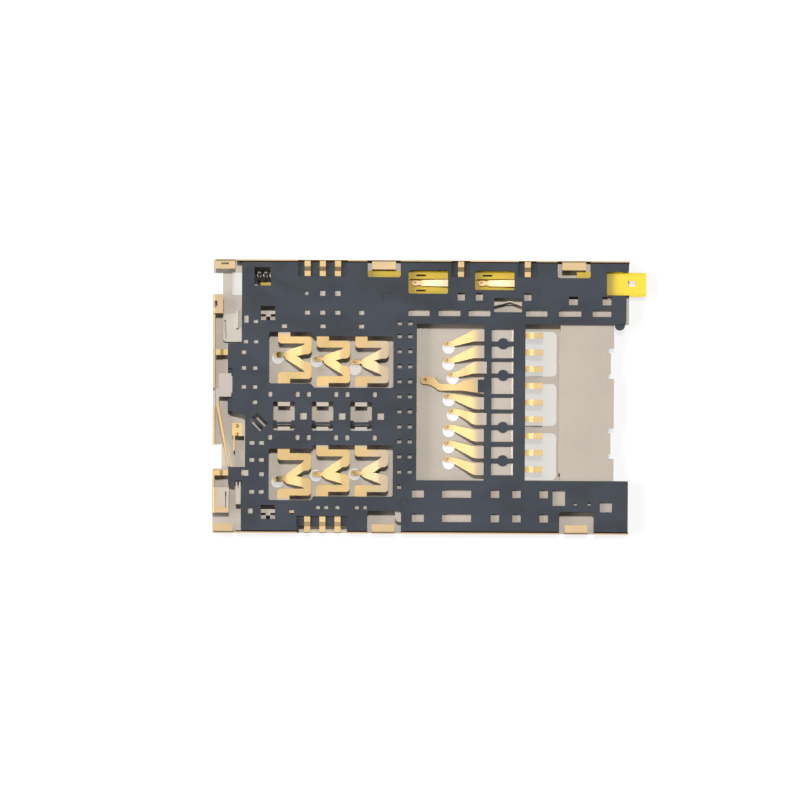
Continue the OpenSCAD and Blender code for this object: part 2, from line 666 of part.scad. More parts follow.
// SIM contacts
function sim_shift(c) = c == 0 ? sim_stagger / 2 : -sim_stagger / 2;
function sim_mid(c) = sim_row + sim_shift(c);
function sim_bend(c, row) = tip_bend[row > 0 ? 0 : 1][c];
function sim_tip_y(c, row) = sim_y + row * (sim_mid(c) + 0.16) + sim_bend(c, row);
lead_w = 0.5;
// Where the inner stubs of the two rows end
stub_end = [-0.65, -2];

module sim_place(c, row) {
    translate([sim_x + c * sim_pitch, sim_y, 0]) scale([1, row, 1]) translate([0, sim_mid(c), 0])
        children();
}

// The flat loop of a SIM contact with its two stubs, and the lead to its solder tail
module sim_flat(c, row) {
    l = -stub_w / 2;
    r = l + sim_len;
    t = sim_wid / 2;
    i = r - beam_w;
    sim_place(c, row) {
        slab([[l, t, 0], [r, t, 0.2], [r, 0.36, 0.1], [r - 0.2, 0.18, 0], [i, 0.17, 0],
            [i, t - beam_w - 0.1, 0.04], [i - 0.06, t - beam_w, 0.03], [l, t - beam_w, 0.22]],
            strip_z, strip_z + contact_t);
        slab([[l, -t + beam_w, 0.22], [i - 0.06, -t + beam_w, 0.03], [i, -t + beam_w + 0.1, 0.04],
            [i, -0.14, 0], [r - 0.2, -0.28, 0], [r, -0.45, 0.1], [r, -t, 0.2], [l, -t, 0]],
            strip_z, strip_z + contact_t);
        block(l, t - eps, strip_z, -l, t + 0.6, strip_z + contact_t);
        block(l, row * (stub_end[row > 0 ? 0 : 1] - sim_y) - sim_mid(c), strip_z, -l, -t + eps,
            strip_z + contact_t);
    }
    sim_anchor(c, row);
    sim_lead(c, row);
}

// Ears moulded into the housing between the windows; the lower row has a tongue beside them
ear_half = 1.04;
ear_w = 0.44;

module sim_anchor(c, row) {
    x = sim_x + c * sim_pitch;
    y = sim_y + row * 1.42;
    z1 = strip_z + contact_t;
    block(x - ear_half, y - ear_w / 2, strip_z, x + ear_half, y + ear_w / 2, z1);
    if (row < 0) {
        block(x + ear_half - eps, y - ear_w / 2, strip_z, x + ear_half + 0.34, sim_y - 0.6, z1);
        block(x + ear_half, sim_y - 0.65, strip_z, x + ear_half + 0.5, sim_y + 0.27, z1);
    }
}

function sim_tail_x(c, row) = tail_x[c] + (row > 0 ? 0 : low_tail_shift);

// Where each row's leads run sideways to their tails
jog_y = [5.48, 7.43];

module sim_lead(c, row) {
    xs = sim_x + c * sim_pitch;
    xt = sim_tail_x(c, row);
    y1 = row * sim_y + sim_mid(c) + sim_wid / 2;
    jog = jog_y[row > 0 ? 0 : 1];
    w = row > 0 ? lead_w : stub_w;
    scale([1, row, 1]) {
        block(min(xs - w / 2, xt - tail_w / 2), jog - lead_w / 2, strip_z, max(xs + w / 2, xt + tail_w / 2),
            jog + lead_w / 2, strip_z + contact_t);
        block(xs - w / 2, y1, strip_z, xs + w / 2, jog, strip_z + contact_t);
        block(xt - tail_w / 2, jog, strip_z, xt + tail_w / 2, side_y - 0.58, strip_z + contact_t);
    }
}

// The two arms that meet in the sprung tip
module sim_arms(c, row) {
    l = -stub_w / 2;
    i = l + sim_len - beam_w;
    t = sim_wid / 2;
    xt = -0.45;
    b = row * sim_bend(c, row);
    sim_place(c, row)
        intersection() {
            slab([[i, t - beam_w - 0.1, 0], [i, 0.17, 0], [l + 1.18, 0.1, 0], [i, -0.14, 0],
                [i, -t + beam_w + 0.1, 0], [l + 0.42, b - 0.03, 0.2], [xt - 0.22, b - 0.03, 0.16],
                [xt - 0.22, b + 0.34, 0.16], [l + 0.42, b + 0.34, 0.2]], 0, height);
            along_y(arm_profile(i, i - 0.1, xt, xt - 0.22, tip_low), -2, 2);
        }
}

module sim_tail(c, row) {
    scale([1, row, 1])
        translate([sim_tail_x(c, row), side_y - 0.58, 0]) rotate(90) tail_step(tail_w, 0.3, 0.68);
}

module sim_contact(n) color([0.96, 0.82, 0.52]) {
    c = n % 3;
    row = n < 3 ? 1 : -1;
    sim_flat(c, row);
    sim_arms(c, row);
    sim_tail(c, row);
}

// Sprung fingers that hold the eject rod down, each with its own solder tail
rod_win_x = [back_x + 12.85, back_x + 17.23];
rod_win_l = 2.6;
finger_w = 0.46;
finger_y = rod_mid_y - 0.02;

module rod_contact_flat(k) {
    x = rod_win_x[k] + rod_win_l;
    xt = rod_tail_x[k];
    block(x - eps, finger_y - finger_w / 2, strip_z, xt + tail_w / 2, finger_y + finger_w / 2,
        strip_z + contact_t);
    block(xt - tail_w / 2, finger_y, strip_z, xt + tail_w / 2, side_y - 0.58, strip_z + contact_t);
}

module rod_contact(k) color([0.96, 0.82, 0.5]) {
    x = rod_win_x[k] + rod_win_l;
    rod_contact_flat(k);
    translate([rod_tail_x[k], side_y - 0.58, 0]) rotate(90) tail_step(tail_w, 0.3, 0.68);
    intersection() {
        slab([[x, finger_y - 0.23, 0], [x, finger_y + 0.23, 0], [x - 1.68, finger_y + 0.2, 0.04],
            [x - 1.84, finger_y + 0.12, 0.05], [x - 2.05, finger_y + 0.17, 0.1],
            [x - 2.36, finger_y + 0.17, 0.14], [x - 2.36, finger_y - 0.17, 0.14],
            [x - 2.05, finger_y - 0.17, 0.1], [x - 1.84, finger_y - 0.12, 0.05],
            [x - 1.68, finger_y - 0.2, 0.04]], 0, height);
        along_y(arm_profile(x, x - 0.2, x - 1.95, x - 2.36, pocket_z + 0.06), finger_y - 1, finger_y + 1);
    }
}

// The eject rod: a moulded slider with a head in front and a prong for the lever at its back
pocket_z = rod_z + 0.36;
notch_x0 = back_x + 21.15;
notch_x1 = notch_x0 + 2.79;
head_l = 1.1;
head_low = 0.09;
pad_l = 0.72;

module rod_stop() {
    block(notch_x0 + 0.06, rod_y1 - 0.35, floor_z, notch_x0 + 1.45, channel_y1 + eps, base_z + eps);
}

module stop_notch() {
    block(notch_x0 - 0.05, rod_y1 - 0.35, floor_z, notch_x0 + 0.06, channel_y1, base_z);
}

module eject_rod() color([0.95, 0.82, 0.3]) {
    xs = spring_x0 + spring_l;
    xe = rod_end_x;
    z1 = rod_z + rod_h;
    difference() {
        union() {
            slab([[prong_x, rod_y0, 0.05], [xe - head_l, rod_y0, 0], [xe - head_l, rod_y0 - head_low, 0.05],
                [xe, rod_y0 - head_low, 0.15], [xe, rod_y1 - 0.05, 0.15], [xe - 1.5, rod_y1 - 0.05, 0],
                [xe - 1.6, rod_y1, 0], [xs, rod_y1, 0], [xs, rod_y0 + prong_w, 0],
                [prong_x, rod_y0 + prong_w, 0.05]], rod_z, z1);
            translate([xs - 0.7, spring_y, spring_z]) rotate([0, 90, 0])
                cylinder(d = spring_d - 2 * spring_wire - 0.08, h = 0.75);
            slab([[xe - pad_l, rod_y0 + 0.05, 0], [xe, rod_y0 + 0.05, 0.15], [xe, rod_y1 - 0.1, 0.15],
                [xe - pad_l, rod_y1 - 0.1, 0]], rod_z, z1 + 0.1);
        }
        for (k = [0, 1]) {
            x = rod_win_x[k] + rod_win_l;
            slab(box_path(x - 2.55, finger_y - 0.27, x + 1.35, finger_y + 0.27, 0.12), pocket_z, height);
            for (s = [-0.5, 0.5])
                slab(box_path(x - 2.1, finger_y + s - 0.06, x - 1.45, finger_y + s + 0.06, 0.05), 0, height);
        }
        block(notch_x0, rod_y1 - 0.42, 0, notch_x1, rod_y1 + eps, height);
        slab(box_path(xe - 1.18, rod_mid_y - 0.19, xe - 0.71, rod_mid_y + 0.19), 0, height);
    }
}

// A closed-form helix swept with a round wire
module return_spring() color([0.75, 0.76, 0.78]) {
    r = (spring_d - spring_wire) / 2;
    per = 16;
    sides = 6;
    rings = spring_turns * per;
    l = spring_l - spring_wire - 0.04;
    points = [for (i = [0:rings])
        let (a = 360 * i / per, x = l * i / rings, e = [0, cos(a), sin(a)],
            s = r * 2 * PI / per, t = unit([l / rings, -sin(a) * s, cos(a) * s]), b = cross(t, e))
        for (j = [0:sides - 1])
            let (q = 360 * j / sides)
            [x, r * e.y, r * e.z] + spring_wire / 2 * (cos(q) * e + sin(q) * b)];
    faces = concat([[for (j = [0:sides - 1]) j]],
        [for (i = [0:rings - 1]) for (j = [0:sides - 1])
            [i * sides + j, (i + 1) * sides + j, (i + 1) * sides + (j + 1) % sides,
                i * sides + (j + 1) % sides]],
        [[for (j = [0:sides - 1]) rings * sides + sides - 1 - j]]);
    translate([spring_x0 + spring_wire / 2 + 0.02, spring_y, spring_z]) polyhedron(points, faces);
}

// The eject lever: a stamped plate that turns on the shell's boss
module eject_lever() color([0.8, 0.79, 0.76])
    difference() {
        union() {
            slab([[pivot_x - 2.15, pivot_y - 0.55, 0.2], [pivot_x - 0.85, pivot_y - 0.55, 0.1],
                [pivot_x - 0.85, pivot_y - 4.3, 0.15], [pivot_x - 0.15, pivot_y - 4.3, 0.3],
                [pivot_x - 0.1, pivot_y - 1.2, 0.3], [pivot_x + 0.75, pivot_y - 0.6, 0.3],
                [pivot_x + 0.75, pivot_y + 0.7, 0.3], [pivot_x + 0.25, pivot_y + 1.2, 0.2],
                [pivot_x + 0.25, push_y - 0.1, 0], [pivot_x - 0.4, push_y - 0.1, 0],
                [pivot_x - 0.45, pivot_y + 1.35, 0.2], [pivot_x - 2.15, pivot_y + 1.35, 0.25]],
                lever_z, lever_z + lever_t);
            translate([pivot_x, push_y, lever_z]) cylinder(r = push_r, h = lever_t);
            block(pivot_x - 1.28, pivot_y + 0.36, lever_z, pivot_x - 1.12, pivot_y + 1.5, 0.95);
        }
        translate([pivot_x, pivot_y, 0]) cylinder(d = pivot_d + 2 * pivot_gap, h = height);
        slab([[pivot_x - 1.98, pivot_y - 0.33, 0], [pivot_x - 1.9, pivot_y - 0.33, 0],
            [pivot_x - 1.97, pivot_y + 0.89, 0], [pivot_x - 2.05, pivot_y + 0.89, 0]], 0, height);
    }

// The leaf that clicks into the tray's side
latch_x = back_x + 19.42;
leaf_t = 0.1;

latch_y = tray_y1 + 0.22;

// Middle line of the leaf: anchored at one end, with two bumps that reach into the tray's side
latch_line = [[-3.2, 0], [-2.3, 0], [-1.35, -0.54], [0.12, -0.15], [1.35, -0.57], [2.1, 0]];

module tray_latch_spring() color([0.85, 0.84, 0.8])
    translate([latch_x, latch_y, 0])
        slab(concat([for (p = latch_line) [p.x, p.y, 0]],
            [for (i = [len(latch_line) - 1:-1:0]) [latch_line[i].x, latch_line[i].y + leaf_t, 0]]),
            floor_z + 0.05, base_z);

module latch_pocket() {
    block(latch_x - 3.2, latch_y, floor_z + 0.05, latch_x - 2.4, latch_y + leaf_t, base_z);
    block(latch_x - 2.4, tray_y1 - eps, floor_z, latch_x + 2.3, latch_y + leaf_t + 0.06, base_z);
}

// Tray detection switch: a leaf that leans on the lever's side, and a fixed contact beside it
module switch_spring_flat() {
    x = housing_x;
    z1 = strip_z + contact_t;
    block(x - 0.4, 0, strip_z, x + 0.5, 3.08, z1);
    block(x + 0.5 - eps, -0.65, strip_z, x + 1.14, 5.38, z1);
    for (y = [3.3, 4.78])
        block(x + 0.12, y, strip_z, x + 0.6, y + 0.6, z1);
    block(x - 1.2, 2.69, strip_z, x - 0.3, 3.08, strip_z + contact_t);
    block(x - 1.3, 0.2, strip_z, x - 0.3, 1.3, strip_z + contact_t);
}

module switch_spring() color([0.9, 0.78, 0.5]) {
    x = housing_x;
    switch_spring_flat();
    translate([x - 1.2, 2.885, 0]) rotate(180) tail_step(0.39, 0.2, 0.5);
    difference() {
        slab(box_path(x - 1.5, -0.05, x - 0.665, 1.5, 0.05), strip_z, strip_z + contact_t);
        block(x - 1.0, -1, 0, x - 0.8, -0.9, height);
    }
    slab([[x - 1.72, 0.5, 0], [x - 1.48, 0.5, 0], [x - 1.48, -0.6, 0.3], [x - 0.83, -4.2, 0.1],
        [x - 0.75, -4.6, 0.1], [x - 0.85, -4.66, 0], [x - 0.95, -4.2, 0.1], [x - 1.64, -0.7, 0.3]],
        0.5, strip_z + contact_t);
}

module switch_contact_flat() {
    x = housing_x;
    block(x + 0.2, -5.3, strip_z, x + 0.9, -1.78, strip_z + contact_t);
    block(x + 0.45, -6.5, strip_z, x + 1.55, -2.8, strip_z + contact_t);
    block(x + 0.4, -7.76, strip_z, x + 0.9, -6.4, strip_z + contact_t);
    block(x - 0.1, -2.63, strip_z, x + 0.3, -1.78, strip_z + contact_t);
    block(x - 1.2, -5.23, strip_z, x + 0.3, -4.88, strip_z + contact_t);
}

module switch_contact() color([0.93, 0.78, 0.5]) {
    x = housing_x;
    switch_contact_flat();
    translate([x - 1.2, -5.055, 0]) rotate(180) tail_step(0.35, 0.2, 0.55);
    slab(box_path(x - 0.6, -2.63, x, -1.78, 0.08), strip_z, strip_z + contact_t);
    for (y = [-1.97, -2.52])
        translate([x - 0.28, y, strip_z + contact_t - 0.05]) sphere(r = 0.13);
    slab(box_path(x - 0.52, -3.6, x - 0.42, -2.55), 0.6, strip_z + contact_t);
}

metal_shell();
housing();
guide_frame();
sim_contact(0);  // sim_contact_1
sim_contact(1);  // sim_contact_2
sim_contact(2);  // sim_contact_3
sim_contact(3);  // sim_contact_4
sim_contact(4);  // sim_contact_5
sim_contact(5);  // sim_contact_6
card_contact(0);  // card_contact_1
card_contact(1);  // card_contact_2
card_contact(2);  // card_contact_3
card_contact(3);  // card_contact_4
card_contact(4);  // card_contact_5
card_contact(5);  // card_contact_6
card_contact(6);  // card_contact_7
card_contact(7);  // card_contact_8
card_detect_contact();
rod_contact(0);  // rod_contact_1
rod_contact(1);  // rod_contact_2
eject_rod();
return_spring();
eject_lever();
tray_latch_spring();
switch_spring();
switch_contact();
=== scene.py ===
"""Looks of a combined SIM and memory card socket that lies on its shell, solder side up."""
import math

import bmesh
import bpy
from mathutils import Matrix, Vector


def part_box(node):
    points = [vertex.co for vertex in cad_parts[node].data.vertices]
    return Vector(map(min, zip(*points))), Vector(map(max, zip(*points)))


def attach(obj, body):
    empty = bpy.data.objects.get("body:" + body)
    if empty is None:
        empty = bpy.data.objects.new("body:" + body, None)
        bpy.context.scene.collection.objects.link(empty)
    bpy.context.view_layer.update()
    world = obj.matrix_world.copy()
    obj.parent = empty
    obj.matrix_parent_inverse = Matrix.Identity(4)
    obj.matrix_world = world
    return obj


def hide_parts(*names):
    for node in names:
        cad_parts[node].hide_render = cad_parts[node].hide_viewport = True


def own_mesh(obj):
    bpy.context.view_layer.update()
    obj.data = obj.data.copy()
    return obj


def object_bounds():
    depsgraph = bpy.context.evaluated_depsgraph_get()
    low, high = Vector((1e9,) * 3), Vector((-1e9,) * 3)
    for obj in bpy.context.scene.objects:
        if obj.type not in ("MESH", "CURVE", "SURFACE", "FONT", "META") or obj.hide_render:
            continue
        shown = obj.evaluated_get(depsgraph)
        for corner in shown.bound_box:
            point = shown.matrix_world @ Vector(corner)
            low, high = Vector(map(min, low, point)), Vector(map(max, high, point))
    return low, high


bl_info = {
    "name": "Card socket",
    "version": (1, 0, 0),
    "blender": (4, 5, 0),
    "location": "3D View > Sidebar > Socket",
    "description": "Finishes the pieces of a SIM and memory card socket",
    "category": "Object",
}

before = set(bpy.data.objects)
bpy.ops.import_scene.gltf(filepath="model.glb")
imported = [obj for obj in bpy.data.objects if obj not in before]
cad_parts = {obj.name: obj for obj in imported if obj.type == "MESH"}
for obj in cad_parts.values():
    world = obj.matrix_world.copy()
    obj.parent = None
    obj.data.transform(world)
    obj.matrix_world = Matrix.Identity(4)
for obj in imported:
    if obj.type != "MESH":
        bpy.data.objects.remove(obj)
cad_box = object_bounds()

MM = 0.001

# Places in plan, in millimetres from the middle of the socket. Along X: the bar's back edge, from
# which the card contacts' arms spring, both ends of the comb's windows, the bar's front edge,
# where each card strip narrows, where its tail steps up, and the housing's back edge
BAR_X, COMB_X, COMB_END_X, BAR_END_X = 3.61, 4.10, 5.53, 6.32
NARROW_X, CARD_TAIL_X = COMB_END_X + 0.2, BAR_END_X + 0.28
HOUSING_X = -12.35
# The first SIM contact, the line midway between the two rows, the pitch, and each row's distance
SIM_X, SIM_Y, SIM_PITCH, SIM_ROW = -9.55, -1.3, 2.54, 3.71
# The middle of the card contacts' row, and its pitch
CARD_Y, CARD_PITCH = -0.33, 1.1
# Inner face of the side walls, where the tails at the sides step up, and the rod's channel
SIDE_Y = 8.83
TAIL_Y = SIDE_Y - 0.58
CHANNEL_Y = 7.505

# The contact strip's thickness and the levels of its top: flat, at a soldered foot, at a tip
SHEET, STRIP_TOP, FOOT_TOP, TIP_TOP = 0.12, 1.32, 1.45, 0.44
# How far the end of a sprung arm turns up again
UPTURN = 0.015
# A side tail's half width, the run of its step and its length; the card tails' half width
TAIL_HALF, TAIL_RUN, TAIL_LENGTH = 0.2, 0.3, 0.68
CARD_TAIL_HALF = 0.195

# Gold flash over a rolled strip is silky, not mirror bright
CONTACT_ROUGH = 0.55


# ---------------------------------------------------------------- sizes and colours


class SocketSizes(bpy.types.PropertyGroup):
    """Sizes that the looks add to the frame"""

    sheet_edge: bpy.props.FloatProperty(
        name="Sheet edge", description="Radius of the stamped sheets' edges",
        default=0.02 * MM, min=0, unit="LENGTH", subtype="DISTANCE", precision=6)
    mould_edge: bpy.props.FloatProperty(
        name="Moulded edge", description="Radius of the housing's edges",
        default=0.025 * MM, min=0, unit="LENGTH", subtype="DISTANCE", precision=6)
    rod_edge: bpy.props.FloatProperty(
        name="Rod edge", description="Radius of the eject rod's edges",
        default=0.05 * MM, min=0, unit="LENGTH", subtype="DISTANCE", precision=6)
    dimple: bpy.props.FloatProperty(
        name="Dimple", description="Radius of the dimple pressed into each contact's tip",
        default=0.11 * MM, min=0, unit="LENGTH", subtype="DISTANCE", precision=6)
    wire: bpy.props.FloatProperty(
        name="Spring wire", description="Diameter of the return spring's wire",
        default=0.12 * MM, min=0, unit="LENGTH", subtype="DISTANCE", precision=6)
    turns: bpy.props.IntProperty(
        name="Spring turns", description="Number of turns in the return spring",
        default=6, min=3)


class SocketColours(bpy.types.PropertyGroup):
    """Colours of the socket's finishes, as sRGB hex"""

    steel: bpy.props.StringProperty(
        name="Steel", description="Stainless strip of the shell", default="#BBB2A6")
    tabs: bpy.props.StringProperty(
        name="Tabs", description="Gold flash on the shell's solder tabs", default="#D0B68D")
    plate: bpy.props.StringProperty(
        name="Guide frame", description="Stainless strip of the guide frame", default="#BBB1A5")
    gold: bpy.props.StringProperty(
        name="Gold", description="Gold flash on the contacts", default="#D6B882")
    nickel: bpy.props.StringProperty(
        name="Nickel", description="Bare nickel between the gold zones", default="#B6ADA2")
    finger: bpy.props.StringProperty(
        name="Finger", description="Thin gold flash on the two rod contacts", default="#F3CFA2")
    wire: bpy.props.StringProperty(
        name="Wire", description="Drawn steel of the return spring", default="#BDB7AC")
    lever: bpy.props.StringProperty(
        name="Lever", description="Tumbled steel of the eject lever", default="#C0BAAF")
    leaf: bpy.props.StringProperty(
        name="Leaf", description="Spring steel of the tray's latch", default="#B4AC9E")
    # Painted shade: a dark brown that stands in for the shade in the gap between the shell's walls
    # and the housing
    painted_gap_shade: bpy.props.StringProperty(
        name="Painted gap shade", description="Painted shade in the gaps along the shell's walls",
        default="#35200F")
    plastic: bpy.props.StringProperty(
        name="Housing", description="Dark liquid crystal polymer", default="#2F353F")
    rod: bpy.props.StringProperty(
        name="Rod", description="Yellow moulded nylon", default="#FFDD18")


def linear(text, by=1.0):
    """An sRGB hex colour as linear RGBA, made lighter or darker by a factor"""
    levels = [int(text[i:i + 2], 16) / 255 for i in (1, 3, 5)]
    levels = [v / 12.92 if v <= 0.04045 else ((v + 0.055) / 1.055) ** 2.4 for v in levels]
    return [v * by for v in levels] + [1.0]


# ---------------------------------------------------------------- materials


def feed(tree, node, inputs):
    """Sets a node's inputs; each is a value or another node's socket"""
    for key, value in inputs.items():
        if isinstance(value, bpy.types.NodeSocket):
            tree.links.new(value, node.inputs[key])
        else:
            node.inputs[key].default_value = value
    return node


def add(tree, kind, inputs, **settings):
    """Adds a node with its settings and its inputs"""
    made = tree.nodes.new(kind)
    for key, value in settings.items():
        setattr(made, key, value)
    return feed(tree, made, inputs)


def blank(name):
    """A new material, its node tree and its shader"""
    material = bpy.data.materials.new(name)
    material.use_nodes = True
    tree = material.node_tree
    return material, tree, tree.nodes["Principled BSDF"]


def toned(tree, drift, dark, light, spread):
    """A colour that drifts from a dark to a light tone; spread says where each is reached"""
    made = add(tree, "ShaderNodeValToRGB", {"Fac": drift})
    for stop, place, tone in zip(made.color_ramp.elements, spread, (dark, light)):
        stop.position = place
        stop.color = tone
    return made.outputs["Color"]


def coated(tree, zone, ground, coat):
    """The coat's colour where the zone is 1, the ground's where it is 0"""
    return add(tree, "ShaderNodeMix", {0: zone, 6: ground, 7: coat}, data_type="RGBA").outputs[2]


# A zone of a piece is 1 inside and 0 outside, with a soft border between two places in mm


def above(tree, place, low, high):
    """The zone above a border that lies between low and high"""
    return add(tree, "ShaderNodeMapRange", {
        "Value": place, "From Min": low * MM, "From Max": high * MM},
        interpolation_type="SMOOTHSTEP").outputs["Result"]


def below(tree, place, low, high):
    """The zone below a border that lies between low and high"""
    return above(tree, place, high, low)


def both(tree, *zones):
    """Where all the zones overlap"""
    result = zones[0]
    for zone in zones[1:]:
        result = add(tree, "ShaderNodeMath", {0: result, 1: zone},
                     operation="MULTIPLY").outputs[0]
    return result


def either(tree, a, b):
    """Where one of two zones is"""
    return add(tree, "ShaderNodeMath", {0: a, 1: b}, operation="MAXIMUM").outputs[0]


def without(tree, zone, hole):
    """A zone less another one"""
    return add(tree, "ShaderNodeMath", {0: zone, 1: hole}, operation="SUBTRACT",
               use_clamp=True).outputs[0]


def away_from(tree, place, middle):
    """Distance to either side of a middle line that is given in mm"""
    off = add(tree, "ShaderNodeMath", {0: place, 1: middle * MM}, operation="SUBTRACT").outputs[0]
    return add(tree, "ShaderNodeMath", {0: off}, operation="ABSOLUTE").outputs[0]


def solder_zone(tree, axes):
    """Gold flash on the walls' tops and on the soldered tabs; the plate by the switch is bare"""
    raised = above(tree, axes["Z"], 0.75, 1.05)
    plate = both(tree, above(tree, axes["X"], -13.95, -13.85),
                 above(tree, axes["Y"], -7.3, -7.2), below(tree, axes["Y"], -4.9, -4.8))
    return without(tree, raised, plate)


def painted_rim_shade_zone(tree, axes):
    """Painted shade of the gap by the housing: walls' inner edges and, on one side, the floor's rim
    """
    side = away_from(tree, axes["Y"], 0)
    inner = both(tree, above(tree, side, 8.78, 8.82), below(tree, side, 8.9, 8.94),
                 above(tree, axes["Z"], 1.0, 1.05), below(tree, axes["Z"], 1.25, 1.28))
    rim = both(tree, above(tree, axes["Y"], 8.78, 8.82), below(tree, axes["Y"], 8.975, 8.99),
               below(tree, axes["Z"], 0.3, 0.4), above(tree, axes["X"], -12.6, -12.5))
    return either(tree, inner, rim)


def contact_zone(tree, axes):
    """Gold on the arms and on the tails, bare nickel on the strips in between"""
    return either(tree, below(tree, axes["X"], BAR_X - 0.9, BAR_X - 0.05),
                  above(tree, axes["X"], BAR_END_X - 0.2, BAR_END_X))


def sim_zone(tree, axes):
    """Gold on the loops and on the tails, bare nickel on stubs and leads in the housing"""
    across = away_from(tree, axes["Y"], SIM_Y)
    loops = without(tree, above(tree, across, 1.9, 2.1), above(tree, across, 5.3, 5.5))
    tails = above(tree, away_from(tree, axes["Y"], 0), SIDE_Y - 1.3, SIDE_Y - 1.2)
    # The gold fades towards nickel across the third contact of each row, paler towards +X
    third = SIM_X + 2 * SIM_PITCH
    fading = add(tree, "ShaderNodeMapRange", {
        "Value": axes["X"], "From Min": third * MM, "From Max": (third + 1.5) * MM,
        "To Min": 1.0, "To Max": 0.45}).outputs["Result"]
    return both(tree, either(tree, loops, tails), fading)


def finger_zone(tree, axes):
    """The rod contacts' tails, beyond the rod's channel"""
    return above(tree, axes["Y"], 7.85, 7.95)


def switch_zone(tree, axes):
    """The leaf's root and what the housing holds are bare nickel, the rest is gold"""
    leaf = without(tree, 1.0, above(tree, axes["Y"], -0.7, -0.15))
    anvil = above(tree, axes["Y"], 1.9, 2.4)
    held = above(tree, axes["X"], HOUSING_X + 0.02, HOUSING_X + 0.08)
    return without(tree, either(tree, leaf, anvil), held)


def metal(name, base, rough, rolled, plated=None, zone=None, painted_gap_shade=None, gap_shade_zone=None):
    """Rolled strip: grain drawn out along the strip, soft mottling, plating and painted shade on
    edges
    """
    material, tree, shader = blank(name)
    place = add(tree, "ShaderNodeTexCoord", {}).outputs["Object"]
    axes = add(tree, "ShaderNodeSeparateXYZ", {"Vector": place}).outputs
    # The rolling lines are about 0.01 mm apart on the real strip and are drawn 0.08 mm apart
    along, across = 1.2 / MM, 12 / MM
    lines = add(tree, "ShaderNodeMapping", {
        "Vector": place,
        "Scale": (along, across, across) if rolled == "x" else (across, along, across)})
    grain = add(tree, "ShaderNodeTexNoise", {
        "Vector": lines.outputs["Vector"], "Scale": 1.0, "Detail": 3.0}).outputs["Fac"]
    # Handling leaves cloudy patches about 3 mm wide
    clouds = add(tree, "ShaderNodeMapping", {"Vector": place, "Scale": (0.35 / MM,) * 3})
    mottle = add(tree, "ShaderNodeTexNoise", {
        "Vector": clouds.outputs["Vector"], "Scale": 1.0, "Detail": 2.0}).outputs["Fac"]
    colour = toned(tree, mottle, linear(base, 0.93), linear(base), (0.3, 0.7))
    if plated:
        flash = toned(tree, mottle, linear(plated, 0.82), linear(plated), (0.3, 0.7))
        colour = coated(tree, zone(tree, axes), colour, flash)
    # Painted shade: the gaps along the walls are painted dark where the zone says
    if painted_gap_shade:
        colour = coated(tree, gap_shade_zone(tree, axes), colour, linear(painted_gap_shade))
    feed(tree, shader, {
        "Base Color": colour,
        "Metallic": 1.0,
        "Roughness": add(tree, "ShaderNodeMapRange", {
            "Value": grain, "From Min": 0.3, "From Max": 0.7,
            "To Min": rough - 0.01, "To Max": rough + 0.01}).outputs["Result"],
        "Normal": add(tree, "ShaderNodeBump", {
            "Height": grain, "Strength": 0.02, "Distance": 0.004 * MM}).outputs["Normal"]})
    return material


def moulded(name, base, rough, mottled, grain_mm, soft=0.0, worn=None):
    """Moulded plastic: flow mottling, the fine grain that a spark-eroded mould leaves, and a
    painted shade where asked
    """
    material, tree, shader = blank(name)
    place = add(tree, "ShaderNodeTexCoord", {}).outputs["Object"]
    # Flow marks are about 3 mm long and 2 mm wide, drawn out along the moulding
    marks = add(tree, "ShaderNodeMapping", {
        "Vector": place, "Scale": (0.28 / MM, 0.45 / MM, 0.45 / MM)})
    flow = add(tree, "ShaderNodeTexNoise", {
        "Vector": marks.outputs["Vector"], "Scale": 1.0, "Detail": 3.0,
        "Distortion": 0.6}).outputs["Fac"]
    sparks = add(tree, "ShaderNodeMapping", {
        "Vector": place, "Scale": (1 / (grain_mm * MM),) * 3})
    fine = add(tree, "ShaderNodeTexNoise", {
        "Vector": sparks.outputs["Vector"], "Scale": 1.0, "Detail": 2.0}).outputs["Fac"]
    colour = toned(tree, flow, linear(base, 1 - mottled), linear(base, 1 + mottled),
                   (0.32, 0.68))
    if worn:
        # Painted shade: the yellow turns a darker olive up to a soft border along X
        border, tint = worn
        olive = add(tree, "ShaderNodeVectorMath", {0: colour, 1: tint},
                    operation="MULTIPLY").outputs[0]
        along = add(tree, "ShaderNodeSeparateXYZ", {"Vector": place}).outputs["X"]
        colour = coated(tree, above(tree, along, *border), olive, colour)
    feed(tree, shader, {
        "Base Color": colour,
        "IOR": 1.5,
        "Roughness": add(tree, "ShaderNodeMapRange", {
            "Value": fine, "From Min": 0.3, "From Max": 0.7,
            "To Min": rough - 0.06, "To Max": rough + 0.06}).outputs["Result"],
        "Normal": add(tree, "ShaderNodeBump", {
            "Height": fine, "Strength": 0.35, "Distance": 0.003 * MM}).outputs["Normal"]})
    if soft:
        # Light goes a quarter of a millimetre into the yellow nylon, red furthest
        feed(tree, shader, {"Subsurface Weight": soft, "Subsurface Radius": (1.0, 0.7, 0.25),
                            "Subsurface Scale": 0.25 * MM})
    return material


# ---------------------------------------------------------------- modelling


def deselect():
    """Leaves edit mode and selects nothing"""
    if bpy.context.object and bpy.context.object.mode != "OBJECT":
        bpy.ops.object.mode_set(mode="OBJECT")
    bpy.ops.object.select_all(action="DESELECT")


def only(obj):
    """Selects one object and makes it the active one"""
    deselect()
    obj.select_set(True)
    bpy.context.view_layer.objects.active = obj


def settle(obj):
    """Puts a finished object's place, turn and scale into its mesh"""
    only(obj)
    bpy.ops.object.transform_apply(location=True, rotation=True, scale=True)


def modify(obj, kind, **settings):
    """Adds a modifier and applies it"""
    only(obj)
    modifier = obj.modifiers.new(kind.title(), kind)
    for key, value in settings.items():
        setattr(modifier, key, value)
    bpy.ops.object.modifier_apply(modifier=modifier.name)


def edit(obj, *steps):
    """Runs edit mode operators on everything in the object"""
    only(obj)
    bpy.ops.object.mode_set(mode="EDIT")
    bpy.ops.mesh.select_all(action="SELECT")
    for operator, settings in steps:
        operator(**settings)
    bpy.ops.object.mode_set(mode="OBJECT")


